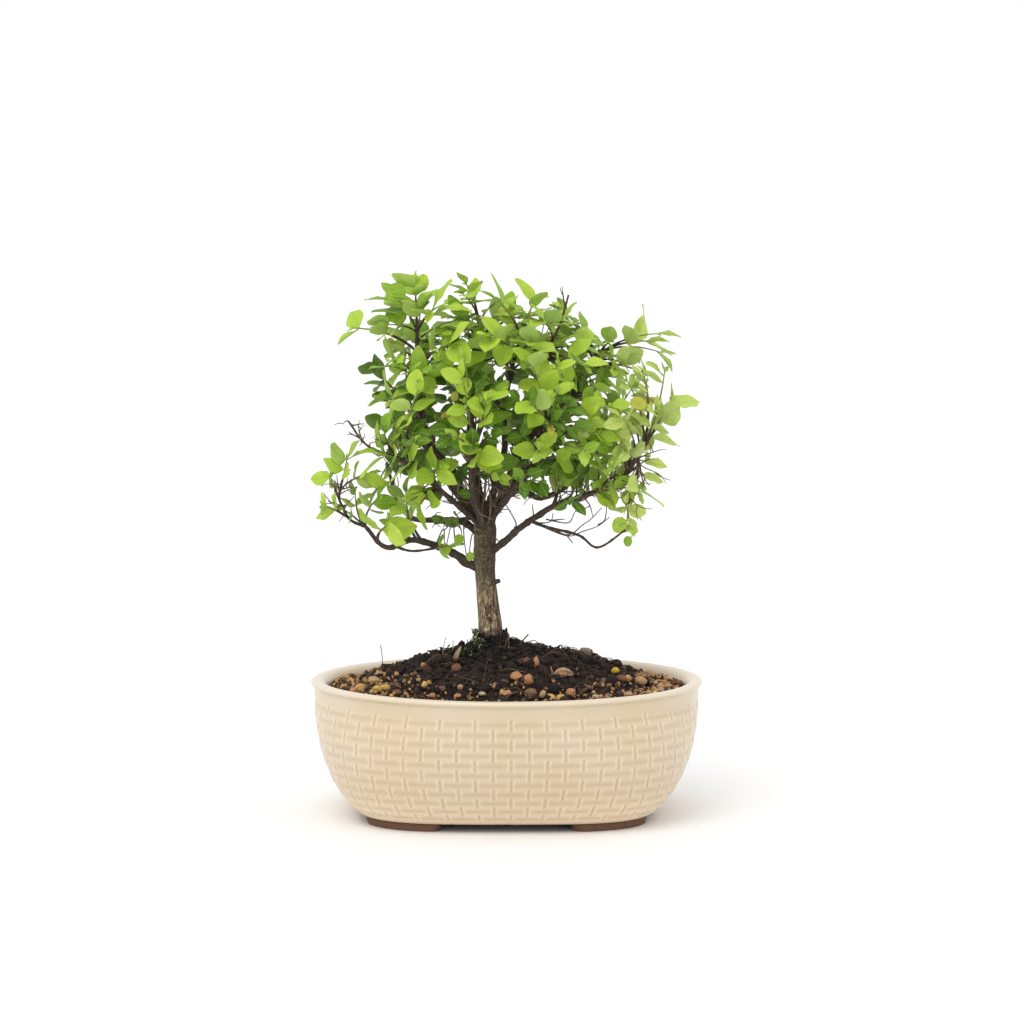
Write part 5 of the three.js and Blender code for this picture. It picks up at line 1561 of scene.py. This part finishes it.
def leafy_piece(name, green, leaf_parts, stem_parts):
    """Blades and stems as one piece, in a leaf green and the stem's own finish."""
    points, triangles, blade, tint = joined(leaf_parts + stem_parts)
    on_leaves = sum(len(part[1]) for part in leaf_parts)
    finish = (np.arange(len(triangles)) >= on_leaves).astype(int)
    marks = {"blade": blade, "tint": tint}
    piece = new_piece(name, points, triangles, [greens[green], green_stem], marks, finish)
    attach(piece, "root")
    return piece


def buds_of(rng, shoot, opening, lengths):
    """A pair of leaves that are still opening at a shoot's tip."""
    return [
        aim_leaf(shoot["stem"], 0.995, math.radians(opening), angle, rng.uniform(*lengths), rng.random)
        for angle in rng.uniform(0, 2 * math.pi) + np.array([0, math.pi])
    ]


def all_wood():
    return [np.concatenate(store) for store in (wood_points, wood_radii, wood_sprays)]


green_stem = stem_finish()
greens = {                    # young, grown, underside
    "fresh": leaf_finish("leaf_fresh", (224, 246, 92), (170, 212, 56), (216, 234, 148)),
    "mid": leaf_finish("leaf_mid", (218, 244, 96), (142, 190, 46), (208, 228, 142)),
    "deep": leaf_finish("leaf_deep", (134, 178, 44), (82, 128, 20), (160, 188, 96)),
    "grey": leaf_finish("leaf_grey", (236, 250, 142), (204, 228, 108), (224, 238, 164)),
}
wood = all_wood()
rng = np.random.default_rng(LEAF_SEED)
for spray, shoot in enumerate(shoots):
    leaves = grow_leaves(shoot, spray, wood)
    buds = buds_of(rng, shoot, 28, (3, 5.5))
    stem = green_rod(shoot["stem"], 0.62, 0.36)
    leaf_skin = blades(rng, leaves + buds, OUTER_BLADE)
    piece = leafy_piece(f"leafy_shoot_{spray + 1:02d}", green_of(shoot["tip"]), [leaf_skin], [stem])
    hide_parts(f"spray_{spray + 1:02d}")

# ------------------------------------------------------------------ inner shoots
# Between the outer shoots the crown is full of shorter ones with smaller leaves. They grow from
# the same limbs, and are kept here in one piece for each green.

INNER_SEED = 59
INNER_SHOOTS = 236
SMALL_SHARE = 0.5             # of the inner shoots, this share has small leaves
YELLOW_SHARE = 0.012
INNER_LEAF_GAP = 1.25         # leaves and bark may stand this near inside the crown
INNER_BARK_GAP = 0.7
FEWEST_LEAVES = 2             # a shoot that finds room for fewer isn't made
ROUND_BREADTH = 1.32
ROUND_LEAVES = [              # near-round leaves on the hanging stalks: foot, heading, length, green
    ((58.7, -14, 153.5), (-0.35, 0, -0.94), 8.8, "mid"), ((61.7, -14, 148.2), (0.75, 0, -0.6), 5.2, "mid"),
    ((60.7, -14, 143.8), (0.25, 0, -0.97), 5.6, "mid"), ((61.2, -14.5, 157.8), (0.9, 0, -0.3), 9.6, "grey"),
    ((61.5, -13, 167.6), (-0.1, 0, -1), 9.0, "mid"), ((57.2, -13.5, 163), (-1, 0, 0), 11.5, "fresh"),
    ((47.9, -14.5, 172.6), (-0.3, 0, -0.95), 9.0, "mid"),
    ((-31.3, -11.5, 140.2), (0.05, 0, -1), 7.6, "fresh"),
    ((-24.2, -11.5, 144.6), (0.1, -0.5, -0.9), 6.4, "fresh"),
    ((-18.4, -10.5, 135.4), (0, 0, -1), 5.0, "mid"),
    ((-43.6, -8, 266.2), (0.12, 0, 1), 9.6, "fresh"), ((-50, -12, 268), (-0.95, 0, -0.2), 11.0, "mid"),
]
YELLOW_LEAVES = [             # old leaves that have turned: foot, heading, length
    ((-26.5, -36.0, 213.5), (0.3, 0.0, 0.95), 5.6), ((15.5, -36.0, 218.5), (0.8, 0.0, -0.6), 6.0),
    ((-31.0, -34.0, 208.5), (0.3, 0.0, -0.95), 6.6), ((62.0, -24.0, 214.0), (0.8, 0.0, -0.5), 9.0),
    ((17.0, -33.0, 210.0), (-0.2, 0.0, -1.0), 5.0), ((-44.0, -34.0, 176.0), (0.5, 0.0, -0.8), 5.4),
]
PLACED_TIPS = [
    ((75, -14, 207), 5, 12), ((33, -40, 208), 6, 13), ((23, -30, 181), 5, 11), ((-51, -8, 165), 5, 12),
    ((-36, -18, 169), 6, 12), ((-61, -30, 198), 5, 13), ((12, -42, 243), 6, 14), ((-22, -50, 227), 6, 14),
    ((27, -22, 242), 6, 13), ((-70, -22, 176), 4, 12), ((-46, -38, 199), 5, 12), ((58, -20, 190), 5, 12),
    ((-80, -22, 184), 5, 15), ((-70, -34, 179), 5, 17), ((-64, -30, 165), 6, 14), ((-52, -26, 160), 5, 13),
    ((-76, -20, 166), 4, 9), ((-82, -20, 158), 4, 8), ((-58, -12, 151), 4, 8), ((-64, -24, 172), 5, 14),
    ((66, -12, 166), 5, 14), ((60, -14, 158), 4, 9), ((64, -10, 146), 3, 7), ((70, -8, 168), 4, 12),
    ((-54, -4, 262), 6, 16), ((-43, -12, 258), 6, 16), ((-60, -6, 250), 5, 15), ((-22, -12, 266), 6, 15),
    ((-32, -16, 250), 6, 16), ((78, -6, 236), 4, 15), ((80, -2, 226), 4, 15), ((76, 2, 245), 3, 14),
    ((-5, -10, 176), 4, 10), ((-13, -14, 180), 5, 11), ((-24, -20, 172), 5, 12), ((-8, -30, 184), 5, 13),
    ((14, -12, 180), 5, 11), ((24, -14, 176), 5, 11), ((36, -18, 176), 5, 11), ((-31, -12, 152), 4, 8),
]
LAST_TIPS = [                 # grown in the room that is left in front of the middle leader
    ((-16, -26, 240), 6, 14), ((-18, -20, 228), 6, 13), ((-12, -14, 250), 5, 13),
]
OPEN_FROM_X, OPEN_TO_X, OPEN_BELOW = 30, 58, 163   # nothing hangs here, under the right arm


def inner_tips(rng):
    """Tips all through the crown, denser above; it is narrower on the left, and open at the fork."""
    tips = []
    while len(tips) < INNER_SHOOTS:
        out = unit(rng.normal(size=3)) * rng.uniform(0.35, 0.93) ** 0.6
        tip = CROWN + out * CROWN_HALF
        low = tip[2] < 172 and (abs(tip[0] + 8) < 40 or tip[2] < 150)
        sparse = tip[2] < 196 and rng.random() < 0.4
        too_far_left = tip[0] < -58 and tip[2] > 186
        too_far_right = tip[0] > 40 and tip[2] > 236
        if low or sparse or too_far_left or too_far_right:
            continue
        length = rng.uniform(6.5, 9.5) if rng.random() < SMALL_SHARE else rng.uniform(9.5, 14)
        tips.append((tip, int(rng.integers(4, 8)), length))
    return tips


def outer_share(tip):
    return np.linalg.norm((tip - CROWN) / CROWN_HALF)


# Deep green in the lower middle, the inside and the back of the crown is partly the leaves' age and partly
# painted shade; the lighter greens at the top are partly painted light.
def inner_green(tip, rng):
    if tip[0] > 55:
        return "grey"
    if tip[2] > 228 or tip[0] > 40:
        return "fresh" if rng.random() < 0.3 else "mid"
    if tip[1] > 5 or outer_share(tip) < 0.74 or (abs(tip[0] + 5) < 42 and tip[2] < 218):
        return "deep" if rng.random() < 0.85 else "mid"
    return "fresh" if rng.random() < 0.35 else "mid"


def facing_front(foot, heading, length):
    """A leaf that shows its face to the front, a little folded."""
    along = unit(np.array(heading))
    to_front = np.array([0.0, -1.0, 0.15])
    up = unit(to_front - (to_front @ along) * along)
    return {
        "base": np.array(foot), "along": along, "up": up, "aside": np.cross(along, up),
        "length": length, "fold": 0.1, "arch": 0.06,
    }


rng = np.random.default_rng(INNER_SEED)
groups = {green: ([], []) for green in greens}
inner_wood = []
for number, (tip, count, length) in enumerate(PLACED_TIPS + inner_tips(rng) + LAST_TIPS):
    if OPEN_FROM_X < tip[0] < OPEN_TO_X and tip[2] < OPEN_BELOW:
        continue
    spray = len(shoots) + number
    shoot = new_shoot(tip, count, length, spray)
    leaves = grow_leaves(shoot, spray, all_wood(), INNER_LEAF_GAP, INNER_BARK_GAP)
    if len(leaves) < FEWEST_LEAVES:
        for store in (wood_points, wood_radii, wood_sprays):
            store.pop()
        continue
    leaf_parts, stem_parts = groups[inner_green(shoot["tip"], rng)]
    buds = buds_of(rng, shoot, 26, (2.5, 4.5))
    leaf_parts.append(blades(rng, leaves + buds, INNER_BLADE, YELLOW_SHARE))
    stem_parts.append(green_rod(shoot["stem"], 0.5, 0.3))
    inner_wood.append(bark_rod(woody_stretch(shoot, 12), 0.8 * shoot["root_radius"], 0.5, 5, 2.0, 0.3, 0.1))
for foot, heading, length, green in ROUND_LEAVES:
    leaf = facing_front(foot, heading, length)
    groups[green][0].append(blades(rng, [leaf], OUTER_BLADE, 0.0, ROUND_BREADTH))
for leaf in YELLOW_LEAVES:
    groups["mid"][0].append(blades(rng, [facing_front(*leaf)], INNER_BLADE, 1.0, 1.2))
for green, (leaf_parts, stem_parts) in groups.items():
    leafy_piece(f"inner_shoots_{green}", green, leaf_parts, stem_parts)
wooden_piece("inner_twigs", inner_wood)

# ------------------------------------------------------------------ floor and light
# A pale seamless floor and wide soft lights, as on a catalogue table.

SKY_LIGHT = 1.0
KEY_LIGHT = 0.8
KEY_FROM = (-0.28, -0.45, 0.85)
KEY_SPREAD = 40.0

FLOOR_HALF = 6000.0

floor_finish, _ = new_finish("pale_floor", 0.9, Base_Color=(0.93, 0.93, 0.93, 1))
corners = np.array([[-1, -1, 0], [1, -1, 0], [1, 1, 0], [-1, 1, 0]]) * FLOOR_HALF
floor = new_piece("floor", corners, [[0, 1, 2], [0, 2, 3]], [floor_finish])

world = bpy.data.worlds.new("studio")
world.use_nodes = True
sky = world.node_tree.nodes["Background"]
sky.inputs["Color"].default_value = (1, 1, 1, 1)
sky.inputs["Strength"].default_value = SKY_LIGHT
bpy.context.scene.world = world

lamp = bpy.data.lights.new("wide_key", "SUN")
lamp.energy = KEY_LIGHT
lamp.angle = math.radians(KEY_SPREAD)
key = bpy.data.objects.new("wide_key", lamp)
key.rotation_euler = Vector(KEY_FROM).to_track_quat("Z", "Y").to_euler()
bpy.context.scene.collection.objects.link(key)
